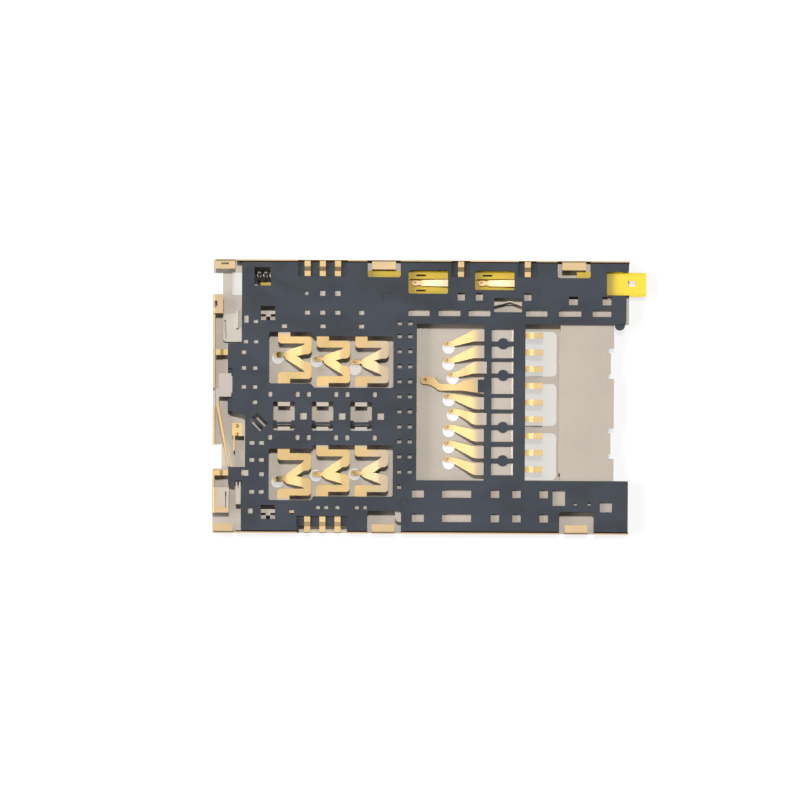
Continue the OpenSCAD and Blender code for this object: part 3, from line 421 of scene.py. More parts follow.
def smooth(obj, degrees=12):
    """Smooth shading on bends; the steps of a broken edge are steeper, so flat faces stay flat"""
    only(obj)
    bpy.ops.object.shade_smooth_by_angle(angle=math.radians(degrees))


def rounded_copy(node, name, radius, limit=50, segments=2):
    """A copy of a CAD node with its edges broken to a small radius"""
    obj = bpy.data.objects.new(name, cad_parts[node].data.copy())
    bpy.context.scene.collection.objects.link(obj)
    only(obj)
    bpy.ops.mesh.customdata_custom_splitnormals_clear()
    edit(obj,
         (bpy.ops.mesh.remove_doubles, {"threshold": 0.0005 * MM}),
         (bpy.ops.mesh.dissolve_limited, {"angle_limit": math.radians(1)}))
    modify(obj, "BEVEL", width=radius, segments=segments, limit_method="ANGLE",
           angle_limit=math.radians(limit))
    smooth(obj, degrees=10)
    return obj


def start(name, x0, x1, y0, y1, z=STRIP_TOP, across=1):
    """A flat sheet at its size and place in millimetres, left in edit mode with nothing selected"""
    deselect()
    bpy.ops.mesh.primitive_grid_add(x_subdivisions=1, y_subdivisions=across, size=MM)
    obj = bpy.context.object
    obj.name = name
    obj.scale = (x1 - x0, y1 - y0, 1)
    obj.location = Vector((x0 + x1, y0 + y1, 2 * z)) * MM / 2
    bpy.ops.object.transform_apply(location=True, rotation=True, scale=True)
    bpy.ops.object.mode_set(mode="EDIT")
    bpy.ops.mesh.select_mode(type="VERT")
    return obj


def sheet(name, x0, x1, y0, y1, z):
    """A flat sheet that needs no more modelling"""
    obj = start(name, x0, x1, y0, y1, z)
    bpy.ops.object.mode_set(mode="OBJECT")
    return obj


def pick(x=None, y=None):
    """Selects the points of the edited sheet that lie in the given ranges in millimetres"""
    bpy.ops.mesh.select_all(action="DESELECT")
    mesh = bmesh.from_edit_mesh(bpy.context.object.data)
    for point in mesh.verts:
        point.select_set(all(reach is None or reach[0] - 0.003 < place / MM < reach[1] + 0.003
                             for place, reach in zip(point.co, (x, y))))
    mesh.select_flush(True)
    bmesh.update_edit_mesh(bpy.context.object.data)


def pull(dx, dy, dz=0.0):
    """Extrudes the selected edge by a step in millimetres"""
    bpy.ops.mesh.extrude_region_move(TRANSFORM_OT_translate={"value": Vector((dx, dy, dz)) * MM})


def draw_out(stations, wide="y"):
    """Extrudes the selected edge through stations of (x, y, z, half width), scaled at each"""
    for before, after in zip(stations, stations[1:]):
        pull(*(b - a for a, b in zip(before[:3], after[:3])))
        ratio = after[3] / before[3]
        bpy.ops.transform.resize(value=(ratio, 1, 1) if wide == "x" else (1, ratio, 1),
                                 center_override=Vector(after[:3]) * MM)


def round_corner(x, y, radius):
    """Rounds one corner of the edited sheet"""
    pick((x, x), (y, y))
    bpy.ops.mesh.bevel(offset=radius * MM, segments=5, affect="VERTICES", clamp_overlap=False)


def press_dimple(obj, x, y, radius, depth):
    """Presses a round dimple down into a sheet around a point"""
    only(obj)
    bpy.ops.object.mode_set(mode="EDIT")
    bpy.ops.mesh.select_all(action="DESELECT")
    mesh = bmesh.from_edit_mesh(obj.data)
    nearest = min(mesh.verts, key=lambda v: math.hypot(v.co.x / MM - x, v.co.y / MM - y))
    for point in mesh.verts:
        point.select_set(point == nearest)
    bmesh.update_edit_mesh(obj.data)
    bpy.ops.transform.translate(value=(0, 0, -depth * MM), use_proportional_edit=True,
                                proportional_edit_falloff="SMOOTH", proportional_size=radius,
                                use_proportional_connected=True)
    bpy.ops.object.mode_set(mode="OBJECT")


def join(name, parts):
    """Joins parts of one piece into one mesh"""
    only(parts[0])
    for part in parts:
        part.select_set(True)
    bpy.ops.object.join()
    parts[0].name = name
    return parts[0]


def face_up(obj):
    """Turns a sheet's faces to the side that is seen"""
    if sum(face.normal.z * face.area for face in obj.data.polygons) < 0:
        edit(obj, (bpy.ops.mesh.flip_normals, {}))


def thicken(obj, thickness=SHEET, edge=0.012):
    """Gives a sheet its thickness under the drawn surface and breaks its edges, in millimetres"""
    face_up(obj)
    modify(obj, "SOLIDIFY", thickness=thickness * MM, offset=-1.0)
    modify(obj, "BEVEL", width=edge * MM, segments=2, limit_method="ANGLE",
           angle_limit=math.radians(60))
    smooth(obj)


def dress(obj, material, body, node):
    """Gives a finished piece its material, body and material slot; it stands for the node"""
    obj.data.materials.clear()
    obj.data.materials.append(material)
    for polygon in obj.data.polygons:
        polygon.material_index = 0
    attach(obj, body)
    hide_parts(node)


def eased(u):
    """0 to 1 with a soft start and a soft end"""
    u = max(0.0, min(1.0, u))
    return u * u * (3 - 2 * u)


def sag(u):
    """How far down a sprung arm is, from its root at 0 to its tip at 1"""
    u = max(0.0, min(1.0, u))
    return u * (0.15 + u * (2.5 - 1.65 * u))


def span(stations, x):
    """The values between two stations of (x, ...), straight from one to the next"""
    stations = sorted(stations)
    if x <= stations[0][0]:
        return stations[0][1:]
    for a, b in zip(stations, stations[1:]):
        if x <= b[0]:
            u = (x - a[0]) / (b[0] - a[0]) if b[0] > a[0] else 1.0
            return [p + (q - p) * u for p, q in zip(a[1:], b[1:])]
    return stations[-1][1:]


def steps(a, b, pitch):
    """Places from a to b, about pitch apart"""
    count = max(1, round(abs(b - a) / pitch))
    return [a + (b - a) * k / count for k in range(count + 1)]


def arm_height(x, root, tip, end, low):
    """Top of a sprung arm that leaves STRIP_TOP at root, touches at tip and turns up at its end"""
    if x >= tip:
        return STRIP_TOP - (STRIP_TOP - low) * sag((root - x) / (root - tip))
    u = (tip - x) / (tip - end)
    return low + UPTURN * u * u


def tail(length, run):
    """A solder tail's ways out, each with its height: it steps up from STRIP_TOP to the board"""
    return [(far, STRIP_TOP + (FOOT_TOP - STRIP_TOP) * min(1.0, far / run))
            for far in (0, run, length)]


def side_tail(x, y):
    """Draws a solder tail on from the selected edge at x and y, out of the housing's side"""
    draw_out([(x, y + far, height, TAIL_HALF) for far, height in tail(TAIL_LENGTH, TAIL_RUN)],
             "x")


def blunt(x, start_at, end):
    """How much of its width a blade keeps at x, as its end is rounded from start_at to end"""
    over = max(0.0, min(1.0, (start_at - x) / (start_at - end)))
    return math.sqrt(max(0.05, 1 - over * over))


def blade(name, stations, across=6):
    """A sheet drawn out from its first station to its last, running along X"""
    (x, y, z, half), second = stations[:2]
    obj = start(name, second[0], x, y - half, y + half, z, across)
    pick(x=(second[0], second[0]))
    draw_out([second] + stations[2:])
    bpy.ops.object.mode_set(mode="OBJECT")
    return obj


# ---------------------------------------------------------------- pieces


class SOCKET_OT_shell(bpy.types.Operator):
    """Stamped shell: edges broken, tabs and wall tops gold flashed for soldering, painted shade in
    the gaps by the housing
    """

    bl_idname = "socket.shell"
    bl_label = "Shell"

    def execute(self, context):
        sizes, colours = context.scene.socket_sizes, context.scene.socket_colours
        obj = rounded_copy("metal_shell", "shell", sizes.sheet_edge)
        # Cold-rolled stainless strip, bright and slightly warm, with gold flash on its solder tabs
        # and painted shade in the gaps along its walls
        steel = metal("stainless_strip_gold_tabs", colours.steel, rough=0.55, rolled="x",
                      plated=colours.tabs, zone=solder_zone, painted_gap_shade=colours.painted_gap_shade, gap_shade_zone=painted_rim_shade_zone)
        dress(obj, steel, "socket", "metal_shell")
        return {"FINISHED"}


class SOCKET_OT_housing(bpy.types.Operator):
    """Housing: one dark moulding with softened edges"""

    bl_idname = "socket.housing"
    bl_label = "Housing"

    # The spring pocket's thin floor: its reach past the spring's ends, its sides and its top
    behind, before, pocket_y, pocket_top, pocket_thick = 0.1, 0.2, (6.98, 8.1), 0.19, 0.035

    def execute(self, context):
        sizes, colours = context.scene.socket_sizes, context.scene.socket_colours
        obj = rounded_copy("housing", "moulded_housing", sizes.mould_edge, limit=60, segments=1)
        # The pocket's own floor makes the coil's window dark
        low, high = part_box("return_spring")
        pocket = sheet("pocket", low.x / MM - self.behind, high.x / MM - self.before,
                       *self.pocket_y, self.pocket_top)
        thicken(pocket, self.pocket_thick, edge=0.004)
        obj = join("moulded_housing", [obj, pocket])
        # Glass-filled liquid crystal polymer: dark grey, silky, with faint flow mottling
        polymer = moulded("moulded_lcp", colours.plastic, rough=0.62, mottled=0.25, grain_mm=0.09)
        dress(obj, polymer, "socket", "housing")
        return {"FINISHED"}


class SOCKET_OT_guide_frame(bpy.types.Operator):
    """Guide frame: stamped plate embedded in the housing"""

    bl_idname = "socket.guide_frame"
    bl_label = "Guide frame"

    def execute(self, context):
        sizes, colours = context.scene.socket_sizes, context.scene.socket_colours
        obj = rounded_copy("guide_frame", "guide_plate", sizes.sheet_edge * 0.7)
        # The same strip as the shell, unplated: a plain, slightly duller grey
        steel = metal("stainless_strip_plate", colours.plate, rough=0.58, rolled="y")
        dress(obj, steel, "socket", "guide_frame")
        return {"FINISHED"}


class SOCKET_OT_sim_contacts(bpy.types.Operator):
    """Six SIM contacts: a flat loop with two arms that meet in a dimpled tip, and a solder tail"""

    bl_idname = "socket.sim_contacts"
    bl_label = "SIM contacts"

    # The loop in plan, in mm from each contact's middle: its beams' ends, its end bar's two
    # edges, half its width, and the width of a beam
    left, right, inner, half, beam = -0.4, 1.81, 1.35, 1.395, 0.46
    # The tip's end, where its rounding starts, how far it lies to one side of the bend, its half
    # width, and the V's blunt end
    end, blunt_from, aside, tip_half, blunt_end = -0.71, -0.53, 0.19, 0.19, 0.25
    # How far down each arm is: an even slope through the V and the neck, and a level tip
    drop = ((1.35, 0), (1.2, 0.01), (1.05, 0.05), (0.9, 0.12), (-0.34, 0.81), (-0.42, 0.85),
            (-0.5, STRIP_TOP - TIP_TOP), (-0.71, STRIP_TOP - TIP_TOP))
    # The half width of the stubs' anchoring ears and of the leads, and half the jog's height
    ear, lead_half, jog_half = 1.04, 0.25, 0.25
    # Both rows, the upper first: how far each tip bends aside, the stub's end, where the leads
    # jog sideways on their way out, and what the lower row's tails are shifted by
    rows = ((1, (0, 0, -0.2), 0.65, 5.48, 0), (-1, (-0.13, -0.06, 0.03), 0.7, 7.43, 0.06))
    tails = (-8.04, -7.04, -6.04)

    def half_loop(self, side, bend):
        """One beam of the loop with its arm, drawn in the contact's own plan"""
        left, right, inner = self.left, self.right, self.inner
        slit = 0.22 if side > 0 else -0.24
        fork, outer = side * (self.half - self.beam), side * self.half
        obj = start("half", inner, right, min(slit, fork), max(slit, fork))
        pick((inner, right), (fork, fork))
        pull(0, outer - fork)
        pick((inner, inner), (min(fork, outer), max(fork, outer)))
        pull(-left - inner, 0)
        pull(2 * left, 0)
        round_corner(right, outer, radius=0.23)
        round_corner(right, slit, radius=0.32)
        round_corner(left, fork, radius=0.22)
        # The arm leaves the loop's end bar and narrows towards the tip
        pick((inner, inner), (min(slit, fork), max(slit, fork)))
        bpy.ops.mesh.subdivide(number_cuts=3)
        pick((inner, inner), (min(slit, fork), max(slit, fork)))
        middle = bend + self.aside
        near = [(self.end, middle), (0.02, middle - 0.01), (0.84, 0.105), (inner, slit)]
        # Out from the middle line: the round tip, its neck, then the blunt end of the V, with the
        # half width of the upper and of the lower arm
        shape = [(self.end, self.tip_half, self.tip_half), (-0.25, self.tip_half, self.tip_half),
                 (-0.06, 0.11, 0.11), (0.02, 0.11, 0.11), (0.1, 0.2, 0.29), (0.2, 0.29, 0.35)]
        far = [(x, middle + (up if side > 0 else -down)) for x, up, down in shape]
        far += [(inner - 0.1, fork - side * (0.1 if side > 0 else 0.13)), (inner, fork)]
        stations = []
        for x in (steps(inner, self.blunt_end, 0.08)
                  + steps(self.blunt_end, self.end, 0.035)[1:]):
            a, b = span(near, x)[0], span(far, x)[0]
            b = a + (b - a) * blunt(x, self.blunt_from, self.end)
            height = STRIP_TOP - span(self.drop, x)[0]
            stations.append((x, (a + b) / 2, height, abs(b - a) / 2))
        draw_out(stations)
        return obj

    def stub(self, out, tongue, end):
        """Draws the inner stub to its end, with the ears that anchor it in the housing"""
        half, wide, ear = self.half, -self.left, self.ear
        high, low = 1.64 - out, 1.2 - out
        pick((-wide, wide), (-half, -half))
        pull(0, high + half)
        pull(0, low - high)
        pull(0, end - low)
        for side in (-1, 1):
            pick((side * wide, side * wide), (low, high))
            pull(side * (ear - wide), 0)
        if tongue:
            # A narrow tongue runs on from one ear, with a wider pad at its end
            pull(0.34, 0)
            pick((ear, ear + 0.34), (low, low))
            draw_out([(ear + 0.17, low, STRIP_TOP, 0.17), (ear + 0.17, 0.62 - out, STRIP_TOP, 0.17),
                      (ear + 0.25, 0.61 - out, STRIP_TOP, 0.25),
                      (ear + 0.25, -0.27 - out, STRIP_TOP, 0.25)], "x")

    def lead(self, jog, shift, tail_at, narrow):
        """Draws the outer stub on through the housing to the stepped solder tail"""
        half, wide, reach = self.half, -self.left, self.jog_half
        pick((-wide, wide), (half, half))
        if narrow:
            draw_out([(0, half, STRIP_TOP, wide), (0, half + 0.6, STRIP_TOP, wide),
                      (0, half + 0.61, STRIP_TOP, self.lead_half),
                      (0, jog - reach, STRIP_TOP, self.lead_half),
                      (0, jog + reach, STRIP_TOP, self.lead_half)], "x")
            wide = self.lead_half
        else:
            pull(0, jog - reach - half)
            pull(0, 2 * reach)
        if abs(shift) > 0.5:
            side = math.copysign(1, shift)
            pick((side * wide, side * wide), (jog - reach, jog + reach))
            pull(shift - side * (wide + TAIL_HALF), 0)
            pull(side * 2 * TAIL_HALF, 0)
            pick((shift - TAIL_HALF, shift + TAIL_HALF), (jog + reach, jog + reach))
            pull(0, tail_at - jog - reach)
        else:
            draw_out([(0, jog + reach, STRIP_TOP, wide),
                      (shift, jog + reach + 0.01, STRIP_TOP, TAIL_HALF)], "x")
            pull(0, tail_at - jog - reach - 0.01)
        side_tail(shift, tail_at)

    def execute(self, context):
        sizes, colours = context.scene.socket_sizes, context.scene.socket_colours
        # Phosphor bronze strip under nickel, gold flashed: warm, bright on slopes, silver on stubs
        gold = metal("gold_on_nickel_sim", colours.nickel, CONTACT_ROUGH, rolled="y",
                     plated=colours.gold, zone=sim_zone)
        for number in range(6):
            column = number % 3
            up, bends, stub_end, jog, tail_shift = self.rows[number // 3]
            x, out = SIM_X + column * SIM_PITCH, SIM_ROW + (0.13 if column == 0 else -0.13)
            # Places across the socket, seen from this contact's own middle
            middle = SIM_Y * up + out
            bend = bends[column] * up
            lower = self.half_loop(-1, bend)
            self.stub(out, up < 0, stub_end - out)
            bpy.ops.object.mode_set(mode="OBJECT")
            upper = self.half_loop(1, bend)
            self.lead(jog - middle, self.tails[column] + tail_shift - x, TAIL_Y - middle, up > 0)
            bpy.ops.object.mode_set(mode="OBJECT")
            obj = join("sim_spring_%d" % (number + 1), [upper, lower])
            edit(obj, (bpy.ops.mesh.remove_doubles, {"threshold": 0.002 * MM}))
            press_dimple(obj, -0.5, bend + self.aside, sizes.dimple, depth=0.025)
            obj.scale = (1, up, 1)
            obj.location = Vector((x, SIM_Y + up * out, 0)) * MM
            settle(obj)
            thicken(obj)
            dress(obj, gold, "socket", "sim_contact_%d" % (number + 1))
        return {"FINISHED"}


def card_stations(plan, tip, end, bend):
    """Stations of a card contact from its tail's end to its tip's; bend is where it turns down"""
    foot_x, foot_y, foot_half = plan[-1]
    stations = [(foot_x + far, foot_y, height, foot_half) for far, height in tail(0.89, 0.27)]
    stations.reverse()
    # Each strip is coined at both ends of its window in the comb
    coined = [(COMB_X - 0.02, -0.07), (COMB_X + 0.13, -0.06), (COMB_END_X - 0.11, -0.06),
              (COMB_END_X, 0)]
    places = [NARROW_X + 0.01, NARROW_X] + [x for x, depth in reversed(coined)] + [BAR_X]
    # Stations lie closer together where the tip's end is rounded
    places += steps(BAR_X, tip + 0.3, 0.07)[1:] + steps(tip + 0.3, end, 0.035)[1:]
    for x in places:
        y, half = span(plan, x)
        if x > BAR_X:
            height = STRIP_TOP + span(coined, x)[0]
        else:
            # Towards its root the arm lies up to 0.1 mm lower, where it meets the coined strip
            height = arm_height(x, BAR_X - bend, tip, end, TIP_TOP) - 0.1 * eased((x - tip) / 2)
        stations.append((x, y, height, half * blunt(x, tip - 0.07, end)))
    return stations


class SOCKET_OT_card_contacts(bpy.types.Operator):
    """Eight memory card contacts: sprung arm, flat strip and stepped solder tail in one blade"""

    bl_idname = "socket.card_contacts"
    bl_label = "Memory card contacts"

    # Each arm's reach from the bar and its tip's place across, which differ from arm to arm
    tips = ((2.4, 3.83), (2.4, 2.74), (2.12, 1.81), (2.37, 0.37), (2.1, -0.61), (2.36, -1.67),
            (2.36, -2.73), (2.36, -3.79))
    # The two strips beside the detect contact stand off from it
    stand_off = {2: 0.09, 4: -0.07}
    tip_half, root_half = 0.17, 0.395

    def execute(self, context):
        sizes, colours = context.scene.socket_sizes, context.scene.socket_colours
        # The same strip as the SIM contacts, bare nickel where the housing holds it
        gold = metal("gold_on_nickel_card", colours.nickel, CONTACT_ROUGH, rolled="x",
                     plated=colours.gold, zone=contact_zone)
        for number, (reach, tip_y) in enumerate(self.tips):
            # The detect contact has the fourth place
            place = number if number < 3 else number + 1
            foot = CARD_Y + (4 - place) * CARD_PITCH
            root = foot + self.stand_off.get(place, 0)
            tip, tip_y = BAR_X - reach, CARD_Y + tip_y
            neck = tip_y + (root - tip_y) * 0.3
            plan = [(tip - 0.25, tip_y, self.tip_half), (tip + 0.25, tip_y, self.tip_half),
                    (tip + 0.7, neck, 0.25), (BAR_X - 0.72, root + (neck - root) * 0.08, 0.375),
                    (BAR_X - 0.5, root, self.root_half), (NARROW_X, root, self.root_half),
                    (NARROW_X + 0.01, foot, CARD_TAIL_HALF), (CARD_TAIL_X, foot, CARD_TAIL_HALF)]
            stations = card_stations(plan, tip, tip - 0.25, bend=0.4)
            obj = blade("card_spring_%d" % (number + 1), stations)
            press_dimple(obj, tip + 0.01, tip_y, sizes.dimple, depth=0.035)
            thicken(obj)
            dress(obj, gold, "socket", "card_contact_%d" % (number + 1))
        return {"FINISHED"}


class SOCKET_OT_detect_contact(bpy.types.Operator):
    """The longer contact that feels the card first"""

    bl_idname = "socket.detect_contact"
    bl_label = "Card detect contact"

    def execute(self, context):
        sizes, colours = context.scene.socket_sizes, context.scene.socket_colours
        # As the eight beside it: gold at the spring end and the tail, nickel between
        gold = metal("gold_on_nickel_detect", colours.nickel, CONTACT_ROUGH, rolled="x",
                     plated=colours.gold, zone=contact_zone)
        y, tip, end = CARD_Y + CARD_PITCH, BAR_X - 3.9, BAR_X - 4.2
        # It swings out past its neighbour's tip and back, narrowest between the two bends
        plan = [(end, y + 0.35, 0.25), (BAR_X - 3.6, y + 0.32, 0.27),
                (BAR_X - 3.25, y + 0.2, 0.33), (BAR_X - 3.05, y - 0.02, 0.27),
                (BAR_X - 2.9, y - 0.12, 0.225), (BAR_X - 1.8, y - 0.13, 0.2),
                (BAR_X - 1.4, y - 0.02, 0.31), (BAR_X - 0.6, y + 0.02, 0.47), (BAR_X, y, 0.545),
                (NARROW_X, y, 0.545), (NARROW_X + 0.01, y, CARD_TAIL_HALF),
                (CARD_TAIL_X, y, CARD_TAIL_HALF)]
        obj = blade("detect_spring", card_stations(plan, tip, end, bend=0.65), across=8)
        press_dimple(obj, tip + 0.01, y + 0.33, sizes.dimple * 1.3, depth=0.04)
        thicken(obj)
        dress(obj, gold, "socket", "card_detect_contact")
        return {"FINISHED"}


class SOCKET_OT_rod_contacts(bpy.types.Operator):
    """Two sprung fingers that hold the eject rod down"""

    bl_idname = "socket.rod_contacts"
    bl_label = "Rod contacts"

    # Where each finger springs from and where its tail goes out, along X
    places = ((1.2, 2.06), (5.58, 6.45))
    half, tip_half, low = 0.23, 0.17, 0.62 + SHEET

    def execute(self, context):
        sizes, colours = context.scene.socket_sizes, context.scene.socket_colours
        # Gold flashed all over, thicker on the tails: both fingers are bright and warm
        gold = metal("gold_on_nickel_finger", colours.finger, CONTACT_ROUGH, rolled="x",
                     plated=colours.gold, zone=finger_zone)
        y, half = CHANNEL_Y, self.half
        for number, (root, tail_x) in enumerate(self.places):
            tip, end = root - 1.95, root - 2.36
            plan = [(end, y, self.tip_half), (root - 2.05, y, self.tip_half),
                    (root - 1.84, y, 0.12), (root - 1.68, y, 0.2), (root, y, half),
                    (tail_x + TAIL_HALF, y, half)]
            stations = []
            for x in [tail_x + TAIL_HALF, tail_x - TAIL_HALF] + steps(root, end, 0.05):
                middle, wide = span(plan, x)
                height = (arm_height(x, root - 0.15, tip, end, self.low) if x < root
                          else STRIP_TOP)
                stations.append((x, middle, height, wide * blunt(x, end + 0.15, end)))
            obj = blade("rod_spring_%d" % (number + 1), stations)
            press_dimple(obj, tip - 0.2, y, sizes.dimple, depth=0.035)
            only(obj)
            bpy.ops.object.mode_set(mode="EDIT")
            pick((tail_x - TAIL_HALF, tail_x + TAIL_HALF), (y + half, y + half))
            pull(0, TAIL_Y - y - half)
            side_tail(tail_x, TAIL_Y)
            bpy.ops.object.mode_set(mode="OBJECT")
            thicken(obj)
            dress(obj, gold, "socket", "rod_contact_%d" % (number + 1))
        return {"FINISHED"}


class SOCKET_OT_eject_rod(bpy.types.Operator):
    """Yellow push rod with its head in front of the arms"""

    bl_idname = "socket.eject_rod"
    bl_label = "Eject rod"

    # Painted shade: the bar deep in its channel is painted a darker olive up to here along X,
    # standing in for the shade it lies in; the head stays bright yellow
    worn_to, olive = (11.5, 12.5), (0.68, 0.64, 0.22)

    def execute(self, context):
        sizes, colours = context.scene.socket_sizes, context.scene.socket_colours
        obj = rounded_copy("eject_rod", "push_rod", sizes.rod_edge, segments=3)
        # Natural nylon dyed yellow: a silky skin that lets a little light in
        nylon = moulded("moulded_yellow_nylon", colours.rod, rough=0.4, mottled=0.05,
                        grain_mm=0.12, soft=0.15, worn=(self.worn_to, self.olive))
        dress(obj, nylon, "rod", "eject_rod")
        return {"FINISHED"}


class SOCKET_OT_return_spring(bpy.types.Operator):
    """Coil spring that pushes the rod out again"""

    bl_idname = "socket.return_spring"
    bl_label = "Return spring"

    def execute(self, context):
        sizes, colours = context.scene.socket_sizes, context.scene.socket_colours
        low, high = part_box("return_spring")
        axis_y, axis_z = (low.y + high.y) / 2, (low.z + high.z) / 2
        radius = (high.y - low.y - sizes.wire) / 2
        length = high.x - low.x - sizes.wire
        deselect()
        bpy.ops.mesh.primitive_circle_add(vertices=14, radius=sizes.wire / 2,
                                          location=(0, radius, 0), rotation=(0, 0, 0))
        obj = bpy.context.object
        obj.name = "coil_spring"
        settle(obj)
        # The wire's round section is wound round X at an even pitch, and its ends are capped
        facets = 32 * sizes.turns
        modify(obj, "SCREW", axis="X", angle=math.tau * sizes.turns, screw_offset=length,
               steps=facets, render_steps=facets, use_smooth_shade=True)
        edit(obj, (bpy.ops.mesh.remove_doubles, {"threshold": 0.0002 * MM}),
             (bpy.ops.mesh.fill_holes, {"sides": 0}),
             (bpy.ops.mesh.normals_make_consistent, {"inside": False}))
        obj.location = (low.x + sizes.wire / 2, axis_y, axis_z)
        settle(obj)
        smooth(obj, degrees=40)
        # Drawn spring wire: smoother and brighter than the rolled strips
        wire = metal("drawn_spring_wire", colours.wire, rough=0.35, rolled="x")
        dress(obj, wire, "socket", "return_spring")
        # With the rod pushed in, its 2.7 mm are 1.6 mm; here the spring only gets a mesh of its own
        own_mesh(obj)
        return {"FINISHED"}


class SOCKET_OT_eject_lever(bpy.types.Operator):
    """Stamped lever that turns on the shell's boss"""

    bl_idname = "socket.eject_lever"
    bl_label = "Eject lever"

    def execute(self, context):
        sizes, colours = context.scene.socket_sizes, context.scene.socket_colours
        obj = rounded_copy("eject_lever", "stamped_lever", sizes.sheet_edge * 1.5)
        # Stainless plate, tumbled after stamping: pale and even, with soft edges
        steel = metal("tumbled_lever_steel", colours.lever, rough=0.55, rolled="y")
        dress(obj, steel, "lever", "eject_lever")
        return {"FINISHED"}


class SOCKET_OT_latch_and_switch(bpy.types.Operator):
    """The tray's latch spring and the two pieces of the tray switch"""

    bl_idname = "socket.latch_and_switch"
    bl_label = "Latch and switch"

    # The latch's back leg: its ends along X, its sides and its top, then its thickness
    leg_at, leg_thick = (4.2, 6.2, 6.1, 6.62, 0.5), 0.1

    def execute(self, context):
        sizes, colours = context.scene.socket_sizes, context.scene.socket_colours
        latch = rounded_copy("tray_latch_spring", "latch_leaf", sizes.sheet_edge * 0.6)
        # The spring's back leg fills the window behind the leaf
        leg = sheet("leg", *self.leg_at)
        thicken(leg, self.leg_thick)
        latch = join("latch_leaf", [latch, leg])
        # Hardened spring leaf, a little darker than the shell
        steel = metal("spring_steel_leaf", colours.leaf, rough=0.5, rolled="x")
        dress(latch, steel, "socket", "tray_latch_spring")
        # As the contacts: gold where the switch closes, nickel at the leaf's root
        gold = metal("gold_on_nickel_switch", colours.nickel, CONTACT_ROUGH, rolled="y",
                     plated=colours.gold, zone=switch_zone)
        for node, name in (("switch_spring", "switch_leaf"), ("switch_contact", "switch_anvil")):
            dress(rounded_copy(node, name, sizes.sheet_edge * 0.7), gold,
                  "socket", node)
        return {"FINISHED"}


# ---------------------------------------------------------------- stage


def seen_only(tree):
    """1 where a surface is looked at, directly or in a reflection; 0 where it would light others"""
    rays = add(tree, "ShaderNodeLightPath", {}).outputs
    looked_at = either(tree, rays["Is Camera Ray"], rays["Is Glossy Ray"])
    return either(tree, looked_at, rays["Is Transmission Ray"])


def stage_card(name, body, seen, strength):
    """Matt card that looks pale, but throws back only the light that its body colour gives"""
    material, tree, shader = blank(name)
    feed(tree, shader, {
        "Base Color": (*body, 1), "Roughness": 0.9, "Emission Color": (*seen, 1),
        "Emission Strength": both(tree, seen_only(tree), strength)})
    return material


def softbox(name, place, watts, side=0.34):
    """A square lamp that faces the socket"""
    bpy.ops.object.light_add(type="AREA", location=place)
    lamp = bpy.context.object
    lamp.name = name
    lamp.data.shape = "RECTANGLE"
    lamp.data.size = lamp.data.size_y = side
    lamp.data.energy = watts
    lamp.rotation_euler = (-lamp.location).to_track_quat("-Z", "Y").to_euler()


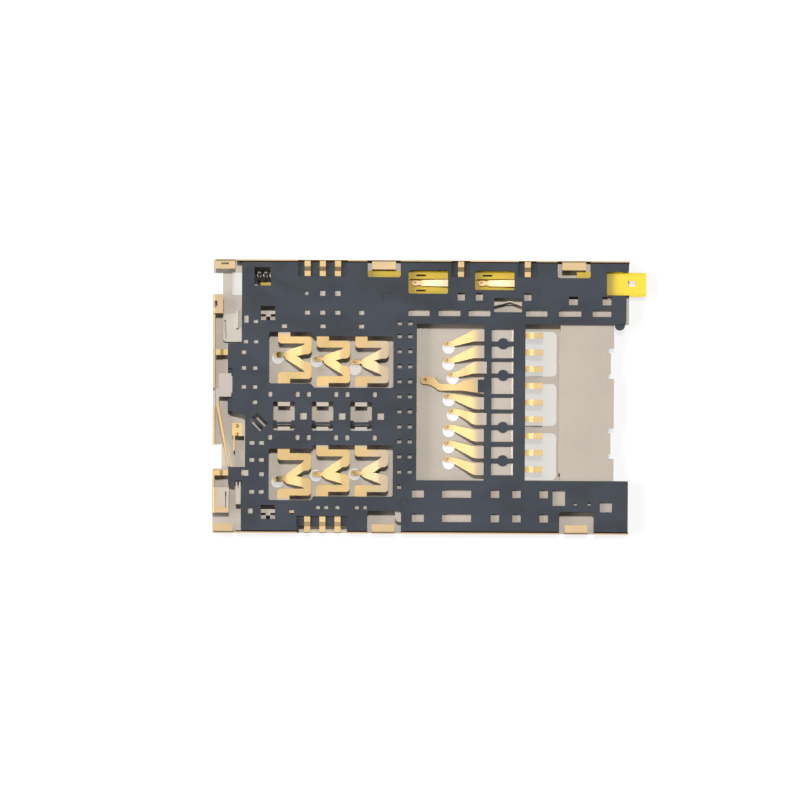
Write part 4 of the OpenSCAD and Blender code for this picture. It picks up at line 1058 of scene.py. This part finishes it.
class SOCKET_OT_stage(bpy.types.Operator):
    """Pale floor, lamps and the camera that looks straight down"""

    bl_idname = "socket.stage"
    bl_label = "Stage"

    floor_side = 0.6
    # The two stretches of floor, in mm along X, that the socket's windows show in its shade; the
    # one between them lies under the card contacts' relief holes and stays white
    shaded = (("shaded_patch_back", -13.5, 0.6), ("shaded_patch_front", 2.2, 11.9))
    shaded_half_width = 8.3
    # The camera's distance in metres, the image's width in pixels, pixels per millimetre, and how
    # far the camera stands off the socket's middle, in mm, and is turned, in radians
    distance, image, per_mm, off, turn = 0.6, 800, 15.2, (-1.9155, -0.2083), 0.00543

    def floor(self, bottom):
        """The white card and the two shaded patches on it"""
        deselect()
        bpy.ops.mesh.primitive_plane_add(size=self.floor_side, location=(0, 0, bottom - 0.01 * MM))
        floor = bpy.context.object
        floor.name = "floor"
        white = stage_card("white_card", body=(0.32,) * 3, seen=(1,) * 3, strength=0.74)
        floor.data.materials.append(white)
        grey = stage_card("shaded_card", body=(0.26, 0.25, 0.235), seen=(1, 0.98, 0.93),
                          strength=0.58)
        for name, x0, x1 in self.shaded:
            patch = sheet(name, x0, x1, -self.shaded_half_width, self.shaded_half_width, -0.005)
            patch.data.materials.append(grey)

    def lamps(self, scene):
        """A key lamp from above, two softboxes for the metal's slopes and a dim white tent"""
        bpy.ops.object.light_add(type="SUN", rotation=(math.radians(-13.7), 0, 0))
        key = bpy.context.object
        key.name = "key"
        key.data.energy = 1.22
        key.data.angle = math.radians(4)
        softbox("side_softbox", (-0.368, 0.01, 0.309), watts=2.0)
        softbox("fill_softbox", (0.41, -0.01, 0.25), watts=0.5)
        world = bpy.data.worlds.new("tent")
        world.use_nodes = True
        tree = world.node_tree
        feed(tree, tree.nodes["Background"], {"Color": (1, 1, 1, 1), "Strength": 0.14})
        scene.world = world

    def camera(self, scene, top):
        """The camera, straight above the socket"""
        camera = bpy.data.cameras.new("camera")
        camera.sensor_width = 36
        camera.lens = camera.sensor_width * self.distance / (self.image / self.per_mm * MM)
        camera.clip_start = 0.01
        camera.clip_end = 5
        eye = bpy.data.objects.new("camera", camera)
        eye.location = (self.off[0] * MM, self.off[1] * MM, top + self.distance)
        eye.rotation_euler = (0, 0, self.turn)
        scene.collection.objects.link(eye)
        scene.camera = eye

    def execute(self, context):
        low, high = cad_box
        self.floor(low[2])
        self.lamps(context.scene)
        self.camera(context.scene, high[2])
        context.scene.view_settings.view_transform = "Standard"
        return {"FINISHED"}


OPERATORS = (SOCKET_OT_stage, SOCKET_OT_shell, SOCKET_OT_housing, SOCKET_OT_guide_frame,
             SOCKET_OT_sim_contacts, SOCKET_OT_card_contacts, SOCKET_OT_detect_contact,
             SOCKET_OT_rod_contacts, SOCKET_OT_eject_rod, SOCKET_OT_return_spring,
             SOCKET_OT_eject_lever, SOCKET_OT_latch_and_switch)


class SOCKET_PT_pieces(bpy.types.Panel):
    """Lists the socket's pieces"""

    bl_label = "Socket"
    bl_idname = "SOCKET_PT_pieces"
    bl_space_type = "VIEW_3D"
    bl_region_type = "UI"
    bl_category = "Socket"

    def draw(self, context):
        for group in (context.scene.socket_sizes, context.scene.socket_colours):
            for name in group.bl_rna.properties.keys():
                if name not in ("rna_type", "name"):
                    self.layout.prop(group, name)
        for operator in OPERATORS:
            self.layout.operator(operator.bl_idname)


CLASSES = (SocketSizes, SocketColours) + OPERATORS + (SOCKET_PT_pieces,)


def register():
    for item in CLASSES:
        bpy.utils.register_class(item)
    bpy.types.Scene.socket_sizes = bpy.props.PointerProperty(type=SocketSizes)
    bpy.types.Scene.socket_colours = bpy.props.PointerProperty(type=SocketColours)


def unregister():
    del bpy.types.Scene.socket_colours
    del bpy.types.Scene.socket_sizes
    for item in reversed(CLASSES):
        bpy.utils.unregister_class(item)


def main():
    register()
    for operator in OPERATORS:
        group, name = operator.bl_idname.split(".")
        getattr(getattr(bpy.ops, group), name)()


if __name__ == "__main__":
    main()
